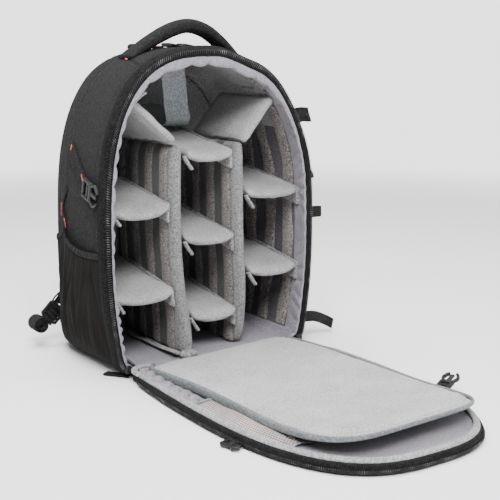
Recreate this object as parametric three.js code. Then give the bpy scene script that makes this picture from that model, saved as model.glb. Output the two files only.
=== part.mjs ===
// Camera backpack standing open, with its front flap laid down on the floor.
// Millimetres. X runs left to right, -Y is the open front, +Z is up, the floor is z = 0.
// The origin is the middle of the bag's base.

import * as THREE from 'three';
import { mergeVertices } from 'three/addons/utils/BufferGeometryUtils.js';

// Driving sizes of the bag body and of the flap: each is an arch on a slightly narrower base.
const bodyArch = { half: 160, base: 143, widest: 168, height: 412, power: 2.84, swell: 2.2, corner: 25 };
const flapArch = { half: 146, base: 134, widest: 170, height: 430, power: 2.84, swell: 2.2, corner: 12 };
const wall = 9;
const lining = 2;
const liningGap = 1.4;
const gap = 0.3;
const webbing = 1.6;

// How far the shell is drawn in from the arch at each depth, at its sides, its top and its base,
// how far it is pushed out low down, where it is fuller, and how far its right shoulder drops.
const depthRows = [
  { y: -95, side: -0.5, top: -6, bottom: 0, low: 0, drop: 11 },
  { y: -86, side: -4.5, top: -9.5, bottom: 0, low: 0, drop: 11 },
  { y: -50, side: -5, top: -12, bottom: 0, low: 0.5, drop: 10 },
  { y: 10, side: -4, top: -13, bottom: 0, low: 3, drop: 7 },
  { y: 55, side: 0, top: -9, bottom: 0, low: 5, drop: 4 },
  { y: 80, side: 11.5, top: 3, bottom: 2, low: 5, drop: 1 },
  { y: 95, side: 24, top: 18, bottom: 8, low: 5, drop: 0 },
  { y: 102, side: 37, top: 32, bottom: 16, low: 5, drop: 0 },
];
// Low down the sides are also drawn in less, by this share, fully below one height and not above another.
const lowSides = { ease: 0.6, full: 30, none: 110 };
// Shares of the outline between which the right shoulder's drop grows to its full, then fades out again.
const shoulderDrop = { from: 0.5, full: 0.55, fading: 0.6, none: 0.705 };
const frontY = depthRows[0].y;
const backY = depthRows.at(-1).y;
const backPlate = { inside: 92.5, face: 101.5, crown: 103.5, crownInset: 12 };

// Columns of facets in each shell panel, and where the panels are sewn together.
const facets = { base: 4, side: 16, top: 16 };
const shoulderSeamX = 100;
const baseSeamX = 111;

// The lining sleeve puckers along its front edge.
const sleeve = { back: 89.5, puckerHeight: 2.4, puckerDepth: 40, cornerSlack: 4 };
const innerInset = wall + liningGap + lining + gap;

// Padded dividers: their middle line and front edge at each height.
const divider = { thick: 20, top: 293, back: 89, round: 7, topRound: 3 };
const dividerRows = {
  left: [
    { z: 12, x: -41, front: -97 },
    { z: 49, x: -41, front: -93 },
    { z: 107, x: -46, front: -87 },
    { z: 191, x: -50, front: -85 },
    { z: 293, x: -48, front: -85 },
  ],
  right: [
    { z: 12, x: 49, front: -74 },
    { z: 36, x: 52, front: -81 },
    { z: 95, x: 53, front: -85 },
    { z: 154, x: 50, front: -85 },
    { z: 293, x: 48, front: -85 },
  ],
};
const dividerFoot = { width: 11, thick: 4, front: -90, back: 52, curl: 4 };

// Padded shelves: height of the lower front edge at the ends, and how far its middle hangs.
const shelfRows = [
  { name: 'shelf_left_upper', column: 'left', z: 212, sag: 10 },
  { name: 'shelf_left_lower', column: 'left', z: 97, sag: 8 },
  { name: 'shelf_center_upper', column: 'center', z: 278, sag: 6 },
  { name: 'shelf_center_middle', column: 'center', z: 164, sag: 5 },
  { name: 'shelf_center_lower', column: 'center', z: 58, sag: 6 },
  { name: 'shelf_right_upper', column: 'right', z: 219, sag: 4 },
  { name: 'shelf_right_lower', column: 'right', z: 110, sag: 6 },
];
const shelf = {
  thick: 12, front: -83, bow: 3, back: 78, rise: 24, backSag: 0.4,
  tab: 27, tabThick: 3, tabRoot: 2, shoulder: 7,
};

// Slanted padded panels from the side of the arch down to the divider tops.
const slant = { wallZ: 357, front: -83, back: 60, thick: 9, lowZ: 302.5, clear: 1.8 };

// Webbing loop hung under the roof.
const loopWidth = 38;
const loopRows = [
  { x: -9, y: 2, z: 411.3 },
  { x: -3, y: 5, z: 345 },
  { x: 1, y: 9, z: 324 },
  { x: 2, y: 24, z: 316 },
  { x: 2, y: 55, z: 325 },
  { x: 2, y: 89.2, z: 341 },
];

// Padded carry handle: its middle line, with the ends given as a rise above the roof.
const handle = { y: -20, wide: 28, high: 19, endHigh: 10, endWide: 36 };
const handleRows = [
  { x: -92, rise: 6.5 },
  { x: -74, rise: 14 },
  { x: -48, z: 432 },
  { x: -20, z: 446 },
  { x: 5, z: 451 },
  { x: 30, z: 445 },
  { x: 53, z: 430 },
  { x: 75, rise: 9 },
];

// Gathered mesh pockets low on both sides, with an elastic binding along the mouth.
const pocket = {
  low: 16, front: -84, back: 74, thick: 1.6, clear: 1.3,
  swell: 10, mouth: 6.5, folds: 5, foldHigh: 1.5,
};
const pocketMouthRows = [
  { y: -84, z: 157 },
  { y: -45, z: 155 },
  { y: -11, z: 159 },
  { y: 8, z: 167 },
  { y: 22, z: 177 },
  { y: 42, z: 168 },
  { y: 74, z: 158 },
];
const binding = { high: 8, thick: 3 };

// Compression strap on each side, from its sewn end down to the buckle.
const sideStrapRows = [
  { y: 12, z: 292 },
  { y: -8, z: 276 },
  { y: -30, z: 259 },
  { y: -48, z: 246 },
];
const sideStrapWidth = 20;
const sideBuckle = { y: -64, z: 236, turn: 216, long: 36, wide: 25, thick: 6 };
const thinStrapRows = [
  { y: 17, z: 238 },
  { y: 30, z: 220 },
  { y: 32, z: 206 },
  { y: 22, z: 192 },
];
const thinStrapWidth = 10;

// Straps and buckle on the roof behind the handle.
const topStrap = { y: 42, from: -14, to: 78, width: 20 };
const topBuckle = { y: 42, x: 29, long: 46, wide: 26, thick: 9 };
const topTab = { y: 16, from: -31, to: 5, width: 16, lift: 3 };

// Webbing loops standing out of the right edge seam.
const edgeLoopRows = [
  { name: 'right_loop_upper', z: 331, reach: 28.5, width: 20, y: -80, droop: 9 },
  { name: 'right_loop_lower', z: 190, reach: 23.5, width: 15, y: -80, droop: 0 },
];

// Route of such a loop: share of its reach, depth from its middle and share of its droop.
const edgeLoopRoute = [
  { out: 0, depth: -3, fall: 0 },
  { out: 0.85, depth: -4, fall: 0.8 },
  { out: 1, depth: 0, fall: 1 },
  { out: 0.85, depth: 4, fall: 0.8 },
  { out: 0, depth: 3, fall: 0 },
];

// Straps at the two lower front corners.
const leftFloorStrapRows = [
  { x: -132, y: -92, z: 1.3 },
  { x: -146, y: -76, z: 1.3 },
  { x: -164, y: -50, z: 1.3 },
];
const rightFloorStrapRows = [
  { x: 157.3, y: -72, z: 34 },
  { x: 186, y: -71, z: 31 },
  { x: 208, y: -70, z: 22 },
  { x: 222, y: -70, z: 14 },
];
const floorStrapWidth = { left: 13, right: 16 };

// Shoulder straps on the back: middle line, width and padding at each section, for the right side.
const shoulderRows = [
  { x: 40, y: 106.4, z: 372, width: 46, thick: 5 },
  { x: 44, y: 118, z: 388, width: 56, thick: 9 },
  { x: 54, y: 138, z: 362, width: 62, thick: 12 },
  { x: 66, y: 148, z: 300, width: 62, thick: 12 },
  { x: 78, y: 144, z: 230, width: 56, thick: 12 },
  { x: 88, y: 128, z: 165, width: 36, thick: 8 },
];
const strapWebRows = [
  { x: 88.6, y: 126.6, z: 161.8 },
  { x: 103, y: 116, z: 118 },
  { x: 123, y: 112, z: 80 },
  { x: 140, y: 113.6, z: 57 },
];
const strapWebWidth = 22;
const ladderBuckle = { x: 151, y: 112, z: 46, long: 26, wide: 30, thick: 5, tilt: -45 };
const strapRoll = { x: 172.6, y: 112, z: 31.5, radius: 12, width: 26 };
const anchorWebRows = [
  { x: 102, y: 104.5, z: 41 },
  { x: 124, y: 109, z: 40 },
  { x: 139, y: 114.8, z: 39 },
];
const cordLoop = { y: 84, low: 66, high: 82, reach: 11, droop: 3, radius: 1.2 };

// Flap: a flat padded plate inside a padded rim, hinged to the base by a strip of cloth.
const flapHingeY = frontY - 0.6;
const flapPlate = { inset: 12.6, thick: 8 };
const flapRim = {
  inset: 6, halfWide: 6, halfHigh: 9, hingeHalfHigh: 6, hingeRun: 1 / 12,
  from: 0.112, steps: 40,
};
const hingeStrip = { half: 116, low: 2, thick: 2.4 };
const flapLining = {
  inset: 13.2, low: 8.3, thick: 2, hem: 1,
  puckers: 30, puckerHeight: 2.6, puckersTo: 0.4,
};
const flapPad = {
  x: 8, y: -302, half: 119, reach: 193, power: 5, hingePower: 10,
  thick: 9, low: 15.1, lift: 15, skew: 0.06,
};
const flapPadRings = [
  { scale: 0, height: 0 },
  { scale: 0.97, height: 0 },
  { scale: 1, height: 0.35 },
  { scale: 0.985, height: 0.75 },
  { scale: 0.93, height: 1 },
  { scale: 0, height: 1 },
];
const flapMesh = { right: -84, from: -230, to: -428, low: 13.3, thick: 1.4, clear: 15 };
const flapBuckle = { long: 32, wide: 20, thick: 6 };
const flapBuckleRows = [
  { name: 'flap_buckle_left', at: [-157, -366, 0.4], along: [0.05, -1, 0], face: [0, 0, 1] },
  { name: 'flap_buckle_right', at: [164.9, -372, 13], along: [0.85, 0.2, 0.42], face: [-0.4, 0, 0.9] },
];

// Zip tapes on the front edge of the body and round the rim of the flap, as shares of each outline.
const zipTape = { width: 11.5, thick: 2.7, overhang: 1.5, from: 0.108, flapFrom: 0.13, flapLow: 3 };
const slider = { wide: 9, long: 15, thick: 4, ahead: 0.008 };

const finishes = {
  shell: { color: 0x2e2f30, roughness: 0.92, metalness: 0 },
  mesh: { color: 0x2a2625, roughness: 0.95, metalness: 0 },
  web: { color: 0x1c1c1d, roughness: 0.85, metalness: 0 },
  zip: { color: 0x161617, roughness: 0.6, metalness: 0 },
  buckle: { color: 0x121213, roughness: 0.4, metalness: 0 },
  lining: { color: 0x9c98a2, roughness: 0.7, metalness: 0 },
  padding: { color: 0x7f8082, roughness: 0.95, metalness: 0 },
  greyWeb: { color: 0x7c858c, roughness: 0.85, metalness: 0 },
  paleMesh: { color: 0xb5adad, roughness: 0.9, metalness: 0 },
};

const materials = Object.fromEntries(
  Object.entries(finishes).map(([name, finish]) => [name, new THREE.MeshStandardMaterial(finish)]),
);
const backpack = new THREE.Group();

function add(name, finish, geometry) {
  const mesh = new THREE.Mesh(geometry, materials[finish]);
  mesh.name = name;
  backpack.add(mesh);
  return mesh;
}

function mix(a, b, share) {
  return a + (b - a) * share;
}

// Linear reading of a table of rows, by its key column, for any other column.
function read(rows, key, at, column) {
  const ascending = rows.at(-1)[key] > rows[0][key];
  const ordered = ascending ? rows : [...rows].reverse();
  const next = ordered.findIndex((row) => row[key] >= at);
  if (next === 0) return ordered[0][column];
  if (next < 0) return ordered.at(-1)[column];
  const [low, high] = [ordered[next - 1], ordered[next]];
  return mix(low[column], high[column], (at - low[key]) / (high[key] - low[key]));
}

// Turns the faces outwards if the signed volume of the closed solid is negative.
function facingOut(solid) {
  const [a, b, c] = [new THREE.Vector3(), new THREE.Vector3(), new THREE.Vector3()];
  const { position } = solid.attributes;
  const index = solid.index.array;
  let volume = 0;
  for (let i = 0; i < index.length; i += 3) {
    a.fromBufferAttribute(position, index[i]);
    b.fromBufferAttribute(position, index[i + 1]);
    c.fromBufferAttribute(position, index[i + 2]);
    volume += a.dot(b.cross(c));
  }
  if (volume < 0) {
    for (let i = 0; i < index.length; i += 3) {
      [index[i], index[i + 1]] = [index[i + 1], index[i]];
    }
  }
  return solid;
}

// Closed unit shape whose every vertex is moved to place(u, v, w), with u, v and w from 0 to 1.
function bent(geometry, place) {
  geometry.deleteAttribute('normal');
  geometry.deleteAttribute('uv');
  geometry.clearGroups();
  const solid = mergeVertices(geometry, 1e-5);
  const { position } = solid.attributes;
  for (let i = 0; i < position.count; i += 1) {
    const point = place(position.getX(i) + 0.5, position.getY(i) + 0.5, position.getZ(i) + 0.5);
    position.setXYZ(i, point.x, point.y, point.z);
  }
  return facingOut(solid);
}

function bentBox(columns, rows, layers, place) {
  return bent(new THREE.BoxGeometry(1, 1, 1, columns, rows, layers), place);
}

// Rod with a round section: place gets the share along it and the two section coordinates, -1 to 1.
function bentRod(sides, steps, place) {
  const rod = new THREE.CylinderGeometry(0.5, 0.5, 1, sides, steps);
  return bent(rod, (u, v, w) => place(v, 2 * u - 1, 2 * w - 1));
}

// Plate with two poles: place gets the turn, 0 to 1, and the ring, 0 at one pole to rings at the other.
function bentPlate(turns, rings, place) {
  const ball = new THREE.SphereGeometry(0.5, turns, rings);
  return bent(ball, (u, v, w) => {
    const [x, y, z] = [2 * u - 1, 2 * v - 1, 2 * w - 1];
    const ring = Math.round((rings * Math.acos(Math.min(1, Math.max(-1, y)))) / Math.PI);
    const turn = (Math.atan2(z, x) / (2 * Math.PI) + 1) % 1;
    return place(turn, ring);
  });
}

// Band of even or changing width along a curve; side(u) is the direction of its width.
function ribbon(curve, steps, width, thick, side) {
  return bentBox(steps, 1, 1, (u, v, w) => {
    const across = side(u).clone().normalize();
    const out = curve.getTangentAt(u).cross(across).normalize();
    return curve
      .getPointAt(u)
      .addScaledVector(across, (v - 0.5) * width(u))
      .addScaledVector(out, (w - 0.5) * thick(u));
  });
}

function curveThrough(rows, mirror = 1) {
  return new THREE.CatmullRomCurve3(rows.map(({ x, y, z }) => new THREE.Vector3(mirror * x, y, z)));
}

// Arch outline from the middle of the base round the left side, over the top and back again.
// The base corner is a quarter circle, the side swells to its widest height, the top is a superellipse.
function archCurve({ half, base, widest, height, power, swell, corner }) {
  const flank = (z) => half - (half - base) * (1 - z / widest) ** swell;
  const cornerSteps = 4;
  const flankSteps = 5;
  const topSteps = 14;
  const points = [new THREE.Vector2(0, 0), new THREE.Vector2((base - corner) / 2, 0)];
  for (let i = 0; i <= cornerSteps; i += 1) {
    const angle = (i / cornerSteps) * (Math.PI / 2);
    const z = corner * (1 - Math.cos(angle));
    points.push(new THREE.Vector2(flank(z) - corner * (1 - Math.sin(angle)), z));
  }
  for (let i = 1; i < flankSteps; i += 1) {
    const z = mix(corner, widest, i / flankSteps);
    points.push(new THREE.Vector2(flank(z), z));
  }
  for (let i = 0; i <= topSteps; i += 1) {
    const angle = (i / topSteps) * (Math.PI / 2);
    const x = i < topSteps ? half * Math.cos(angle) ** (2 / power) : 0;
    const z = mix(widest, height, Math.sin(angle) ** (2 / power));
    points.push(new THREE.Vector2(x, z));
  }
  const left = points.map(({ x, y }) => new THREE.Vector2(-x, y));
  const right = points.slice(0, -1).reverse();
  return new THREE.SplineCurve([...left, ...right]);
}

const bodyOutline = archCurve(bodyArch);
const flapOutline = archCurve(flapArch);

// Point of an outline at share t, and the outward direction there.
function outlineAt(outline, t) {
  const share = ((t % 1) + 1) % 1;
  const spot = outline.getPointAt(share);
  const along = outline.getTangentAt(share);
  return { x: spot.x, h: spot.y, outX: -along.y, outH: along.x };
}

// Point of the shell at share t of the outline and depth y, a distance inside its outer face.
function shellPoint(t, y, inside) {
  const { x, h, outX, outH } = outlineAt(bodyOutline, t);
  const end = read(depthRows, 'y', y, outH > 0 ? 'top' : 'bottom');
  const lowness = 1 - THREE.MathUtils.smoothstep(h, lowSides.full, lowSides.none);
  const onLow = Math.min(1, 2 * outX ** 2) * lowness;
  const eased = 1 - lowSides.ease * onLow;
  const turn = ((t % 1) + 1) % 1;
  const onShoulder = THREE.MathUtils.smoothstep(turn, shoulderDrop.from, shoulderDrop.full)
    - THREE.MathUtils.smoothstep(turn, shoulderDrop.fading, shoulderDrop.none);
  const drawn = (read(depthRows, 'y', y, 'side') * outX ** 2 + end * outH ** 2) * eased
    - read(depthRows, 'y', y, 'low') * onLow + read(depthRows, 'y', y, 'drop') * onShoulder;
  return new THREE.Vector3(x - outX * (drawn + inside), y, h - outH * (drawn + inside));
}

// Share t on the left half of the outline where a rising measure of the shell point reaches a value.
function findShare(measure, value, low = 0.09, high = 0.5) {
  let [from, to] = [low, high];
  for (let step = 0; step < 40; step += 1) {
    const middle = (from + to) / 2;
    if (measure(middle) < value) from = middle;
    else to = middle;
  }
  return (from + to) / 2;
}

// Half width of the shell at a height and depth, a distance inside its outer face.
function halfWidth(z, y, inside) {
  const t = findShare((share) => shellPoint(share, y, inside).z, z, 0.07);
  return -shellPoint(t, y, inside).x;
}

// Height of the roof over a place x, y.
function roof(x, y) {
  const at = (share) => shellPoint(x < 0 ? share : 1 - share, y, 0);
  const t = findShare((share) => -Math.abs(at(share).x), -Math.abs(x), 0.3);
  return at(t).z;
}

function floorZ(y) {
  return read(depthRows, 'y', y, 'bottom') + innerInset;
}

function depthAt(v) {
  const place = v * (depthRows.length - 1);
  const row = Math.min(depthRows.length - 2, Math.floor(place));
  return mix(depthRows[row].y, depthRows[row + 1].y, place - row);
}

// Padded shell panels, sewn edge to edge, and the shares of the outline where their facets meet
const shoulder = findShare((t) => bodyOutline.getPointAt(t).x, -shoulderSeamX, 0.3);
const corner = findShare((t) => -bodyOutline.getPointAt(t).x, baseSeamX, 0.01, 0.12);
const seamShare = gap / bodyOutline.getLength();

const closeAtStart = (u) => u ** 1.4;
const closeAtEnd = (u) => 1 - (1 - u) ** 1.4;
const even = (u) => u;
const panels = [
  { name: 'left_side_panel', from: corner, to: shoulder, columns: facets.side, spread: closeAtStart },
  { name: 'top_panel', from: shoulder, to: 1 - shoulder, columns: facets.top, spread: even },
  { name: 'right_side_panel', from: 1 - shoulder, to: 1 - corner, columns: facets.side, spread: closeAtEnd },
  { name: 'bottom_panel', from: 1 - corner, to: 1 + corner, columns: facets.base, spread: even },
];

for (const { name, from, to, columns, spread } of panels) {
  add(name, 'shell', bentBox(columns, depthRows.length - 1, 1, (u, v, w) => (
    shellPoint(mix(from + seamShare, to - seamShare, spread(u)), depthAt(v), wall * w)
  )));
}

const facetShares = panels.flatMap(({ from, to, columns, spread }) => (
  Array.from({ length: columns }, (_, i) => mix(from, to, spread(i / columns)))
));
const facetCount = facetShares.length;

// Share of the outline at a turn round it, from one facet edge of the shell to the next.
function facetShare(turn) {
  const place = Math.round(turn * facetCount);
  return facetShares[place % facetCount] + (place >= facetCount ? 1 : 0);
}

// Upright plate whose rim follows the shell at the back; each ring gives its depth and extra inset.
function backShape(inside, middleZ, rings) {
  return bentPlate(facetCount, rings.length + 1, (turn, ring) => {
    const row = rings[Math.min(rings.length, Math.max(1, ring)) - 1];
    if (ring === 0 || ring > rings.length) return new THREE.Vector3(0, row.y, middleZ);
    const rim = shellPoint(facetShare(turn), row.at, inside + row.extra);
    return new THREE.Vector3(rim.x, row.y, rim.z);
  });
}

const middleZ = bodyArch.height / 2;
add('back_panel', 'shell', backShape(wall + liningGap, middleZ, [
  { y: backPlate.inside, at: backY, extra: 0 },
  { y: backPlate.face, at: backY, extra: 0 },
  { y: backPlate.crown, at: backY, extra: backPlate.crownInset },
]));
add('lining_back', 'padding', backShape(innerInset + gap, middleZ, [
  { y: sleeve.back + gap, at: backPlate.inside, extra: 0 },
  { y: backPlate.inside - gap, at: backPlate.inside, extra: 0 },
]));

// Lining sleeve, butted at one edge of the base and puckered along the top of the opening
const sleeveDepths = [frontY + gap, ...depthRows.slice(1, 6).map((row) => row.y), sleeve.back];
add('lining_sleeve', 'lining', bentBox(facetCount, sleeveDepths.length - 1, 1, (u, v, w) => {
  const place = Math.round(u * facetCount);
  const atButt = place === 0 || place === facetCount;
  const t = mix(facetShare(u), facetShare(0.5), atButt ? 2 * seamShare : 0);
  const y = sleeveDepths[Math.round(v * (sleeveDepths.length - 1))];
  const { outX, outH } = outlineAt(bodyOutline, t);
  const onTop = Math.max(0, outH) ** 2;
  const onCorner = outH < 0 ? 4 * outX ** 2 * outH ** 2 : 0;
  const nearFront = Math.max(0, 1 - (y - frontY) / sleeve.puckerDepth);
  const pucker = sleeve.puckerHeight * (place % 2) * onTop * nearFront;
  return shellPoint(t, y, wall + liningGap + pucker + sleeve.cornerSlack * onCorner + lining * w);
}));

// Zip tape along the front edge, from one lower corner over the top to the other
add('body_zip', 'zip', bentBox(44, 1, 1, (u, v, w) => {
  const t = mix(zipTape.from, 1 - zipTape.from, u);
  const edge = shellPoint(t, frontY, zipTape.width * v - zipTape.overhang);
  edge.y = frontY - gap - zipTape.thick * w;
  return edge;
}));

// Dividers
function dividerX(side, z, face) {
  return read(dividerRows[side], 'z', z, 'x') + face * (divider.thick / 2);
}

function dividerSolid(side) {
  const rows = dividerRows[side];
  return bentBox(4, rows.length - 1, 4, (u, v, w) => {
    const across = 2 * u - 1;
    const height = rows[Math.round(v * (rows.length - 1))].z;
    const front = read(dividerRows[side], 'z', height, 'front') + divider.round * across ** 2;
    const y = mix(front, divider.back, w ** 1.5);
    const z = Math.max(height, floorZ(y)) - (v === 1 ? divider.topRound * across ** 2 : 0);
    return new THREE.Vector3(dividerX(side, height, across), y, z);
  });
}

add('divider_left', 'padding', dividerSolid('left'));
add('divider_right', 'padding', dividerSolid('right'));

// Tab along the foot of the left divider, turned out over the base and curled up at its edge
add('divider_foot', 'padding', bentBox(3, 4, 1, (u, v, w) => {
  const y = mix(dividerFoot.front, dividerFoot.back, v);
  const x = dividerX('left', floorZ(y), -1) - gap - dividerFoot.width * (1 - u);
  const curl = dividerFoot.curl * (1 - u) ** 2 * (1 - v);
  return new THREE.Vector3(x, y, floorZ(y) + curl + dividerFoot.thick * w);
}));

// Shelves: a sagging pad whose ends turn down as thin tabs against the walls of its column
function columnEnds(column, z, y) {
  const clear = 2 * gap;
  const onWall = halfWidth(z, y, innerInset) - clear;
  return {
    left: column === 'left' ? -onWall : dividerX(column === 'center' ? 'left' : 'right', z, 1) + clear,
    right: column === 'right' ? onWall : dividerX(column === 'center' ? 'right' : 'left', z, -1) - clear,
  };
}

function shelfSolid({ column, z, sag }) {
  const columns = 10;
  return bentBox(columns, 3, 1, (u, v, w) => {
    const station = Math.round(u * columns);
    const fromEnd = Math.min(station, columns - station);
    const share = Math.min(1, Math.max(0, (station - 2) / (columns - 4)));
    const hump = 1 - (2 * share - 1) ** 2;
    const y = mix(shelf.front - shelf.bow * hump, shelf.back, v);
    const base = z + shelf.rise * v - sag * hump * mix(1, shelf.backSag, v);
    const height = [base + shelf.thick - shelf.tab, base + mix(shelf.thick / 2, -shelf.tabRoot, w)][fromEnd]
      ?? base + shelf.thick * (1 - w);
    const ends = columnEnds(column, height, y);
    const inward = fromEnd < 2 ? shelf.tabThick * w : mix(shelf.shoulder / 2, shelf.shoulder, w);
    return new THREE.Vector3(mix(ends.left + inward, ends.right - inward, share), y, height);
  });
}

for (const row of shelfRows) {
  add(row.name, 'padding', shelfSolid(row));
}

// Slanted panels
function slantSolid(side) {
  const sign = side === 'left' ? -1 : 1;
  const low = new THREE.Vector3(dividerX(side, divider.top, sign) - sign, 0, slant.lowZ);
  return bentBox(4, 4, 1, (u, v, w) => {
    const y = mix(slant.front, slant.back, v);
    const at = (share) => shellPoint(sign < 0 ? share : 1 - share, y, innerInset + slant.clear);
    const high = at(findShare((share) => at(share).z, slant.wallZ));
    const foot = new THREE.Vector3(low.x, y, low.z);
    const along = foot.clone().sub(high).normalize();
    const out = new THREE.Vector3(-along.z * sign, 0, along.x * sign);
    return high.lerp(foot, u).addScaledVector(out, (w - 0.5) * slant.thick);
  });
}

add('slant_left', 'padding', slantSolid('left'));
add('slant_right', 'padding', slantSolid('right'));

// Webbing loop under the roof
const acrossX = () => new THREE.Vector3(1, 0, 0);
const evenly = (value) => () => value;
add('webbing_loop', 'greyWeb', ribbon(
  curveThrough(loopRows),
  14, evenly(loopWidth), evenly(webbing), acrossX,
));

// Carry handle
const handleCurve = curveThrough(handleRows.map(({ x, z, rise }) => (
  { x, y: handle.y, z: z ?? roof(x, handle.y) + rise }
)));
add('carry_handle', 'shell', bentRod(12, 18, (u, a, b) => {
  const middle = Math.sin(Math.PI * u) ** 0.5;
  const along = handleCurve.getTangentAt(u);
  const out = new THREE.Vector3(-along.z, 0, along.x);
  const high = mix(handle.endHigh, handle.high, middle);
  const wide = mix(handle.endWide, handle.wide, middle);
  const point = handleCurve.getPointAt(u).addScaledVector(out, (a * high) / 2);
  point.y += (b * wide) / 2;
  return point;
}));

// Mesh pockets: a gathered sheet sewn at the base and both edges, standing off at the mouth
function pocketLift(u, v) {
  const spread = Math.sin(Math.PI * u);
  const fold = pocket.foldHigh * Math.sin(2 * Math.PI * (pocket.folds * u + 0.6 * v)) * spread * (1 - v);
  const fullness = mix(pocket.swell * Math.sin(Math.PI * Math.min(1, v * 1.1)), pocket.mouth, v);
  return spread ** 0.8 * fullness + Math.max(0, fold);
}

function pocketPoint(sign, u, v, out, up = 0) {
  const y = mix(pocket.front, pocket.back, u);
  const z = mix(pocket.low, read(pocketMouthRows, 'y', y, 'z'), v) + up;
  return new THREE.Vector3(sign * (halfWidth(z, y, 0) + pocket.clear + pocketLift(u, v) + out), y, z);
}

// Straps that lie on a side of the bag: a route of y and z, carried out to the shell
function sideBand(sign, rows, width, steps) {
  const route = new THREE.SplineCurve(rows.map(({ y, z }) => new THREE.Vector2(y, z)));
  return bentBox(steps, 1, 1, (u, v, w) => {
    const spot = route.getPointAt(u);
    const along = route.getTangentAt(u);
    const y = spot.x - along.y * (v - 0.5) * width;
    const z = spot.y + along.x * (v - 0.5) * width;
    return new THREE.Vector3(sign * (halfWidth(z, y, 0) + 2 * gap + webbing * w), y, z);
  });
}

// Flat moulded piece with a web slot at its tail and two spring arms at its nose.
function buckleShape({ long, wide }) {
  const [x, y] = [long / 2, wide / 2];
  const shape = new THREE.Shape();
  shape.moveTo(-x, -y);
  shape.lineTo(0, -y);
  shape.lineTo(x * 0.85, -y * 0.8);
  shape.lineTo(x, -y * 0.45);
  shape.lineTo(x * 0.2, -y * 0.3);
  shape.lineTo(x * 0.2, y * 0.3);
  shape.lineTo(x, y * 0.45);
  shape.lineTo(x * 0.85, y * 0.8);
  shape.lineTo(0, y);
  shape.lineTo(-x, y);
  shape.closePath();
  shape.holes.push(slotPath(-x * 0.72, y * 0.7, long * 0.06));
  return shape;
}

function slotPath(middle, halfLong, halfWide) {
  const slot = new THREE.Path();
  slot.moveTo(middle - halfWide, -halfLong);
  slot.lineTo(middle - halfWide, halfLong);
  slot.lineTo(middle + halfWide, halfLong);
  slot.lineTo(middle + halfWide, -halfLong);
  slot.closePath();
  return slot;
}

// Rectangle with slots across it, for ladder buckles, closed buckles and zip pulls.
function frameShape({ long, wide }, slots) {
  const shape = new THREE.Shape();
  const cut = wide * 0.15;
  const [x, y] = [long / 2, wide / 2];
  shape.moveTo(-x + cut, -y);
  shape.lineTo(x - cut, -y);
  shape.lineTo(x, -y + cut);
  shape.lineTo(x, y - cut);
  shape.lineTo(x - cut, y);
  shape.lineTo(-x + cut, y);
  shape.lineTo(-x, y - cut);
  shape.lineTo(-x, -y + cut);
  shape.closePath();
  slots.forEach((middle, i) => {
    shape.holes.push(slotPath(middle * long, y * (0.62 - 0.05 * i), long * 0.07));
  });
  return shape;
}

function plate(shape, thick) {
  return new THREE.ExtrudeGeometry(shape, { depth: thick, bevelEnabled: false, curveSegments: 4 });
}

// Stands a flat piece at a point, with its length along one direction and its face towards another.
function stand(mesh, at, lengthDirection, faceDirection) {
  const face = faceDirection.clone().normalize();
  const across = face.clone().cross(lengthDirection).normalize();
  const along = across.clone().cross(face);
  mesh.quaternion.setFromRotationMatrix(new THREE.Matrix4().makeBasis(along, across, face));
  mesh.position.copy(at);
}

for (const [side, sign] of [['left', -1], ['right', 1]]) {
  add(`${side}_pocket`, 'mesh', bentBox(14, 6, 1, (u, v, w) => pocketPoint(sign, u, v, pocket.thick * w)));
  add(`${side}_pocket_binding`, 'web', bentBox(14, 1, 1, (u, v, w) => (
    pocketPoint(sign, u, 1, binding.thick * w, gap + binding.high * v)
  )));
  add(`${side}_side_strap`, 'web', sideBand(sign, sideStrapRows, sideStrapWidth, 6));
  const turn = THREE.MathUtils.degToRad(sideBuckle.turn);
  const reach = Math.max(
    ...[-1, 0, 1].map((end) => halfWidth(
      sideBuckle.z + (end * Math.sin(turn) * sideBuckle.long) / 2,
      sideBuckle.y + (end * Math.cos(turn) * sideBuckle.long) / 2,
      0,
    )),
  );
  const buckle = add(`${side}_side_buckle`, 'buckle', plate(buckleShape(sideBuckle), sideBuckle.thick));
  stand(
    buckle,
    new THREE.Vector3(sign * (reach + 4 * gap), sideBuckle.y, sideBuckle.z),
    new THREE.Vector3(0, Math.cos(turn), Math.sin(turn)),
    new THREE.Vector3(sign, 0, 0),
  );
}
add('left_thin_strap', 'web', sideBand(-1, thinStrapRows, thinStrapWidth, 6));

// Strap, closed buckle and tab on the roof
function roofBand({ y, from, to, width }, lift, steps) {
  return bentBox(steps, 1, 1, (u, v, w) => {
    const x = mix(from, to, u);
    const depth = y + (v - 0.5) * width;
    return new THREE.Vector3(x, depth, roof(x, depth) + 2 * gap + lift(u) + webbing * w);
  });
}

add('top_strap', 'web', roofBand(topStrap, evenly(0), 10));
add('top_tab', 'web', roofBand(topTab, (u) => topTab.lift * u ** 2, 6));
const clasp = add('top_buckle', 'buckle', plate(frameShape(topBuckle, [-0.36, 0.36]), topBuckle.thick));
const claspHalf = topBuckle.long / 2;
const [claspLeft, claspRight] = [-claspHalf, claspHalf].map((end) => roof(topBuckle.x + end, topBuckle.y));
clasp.position.set(topBuckle.x, topBuckle.y, roof(topBuckle.x, topBuckle.y) + webbing + 6 * gap);
clasp.rotation.y = Math.atan2(claspLeft - claspRight, topBuckle.long);

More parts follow.
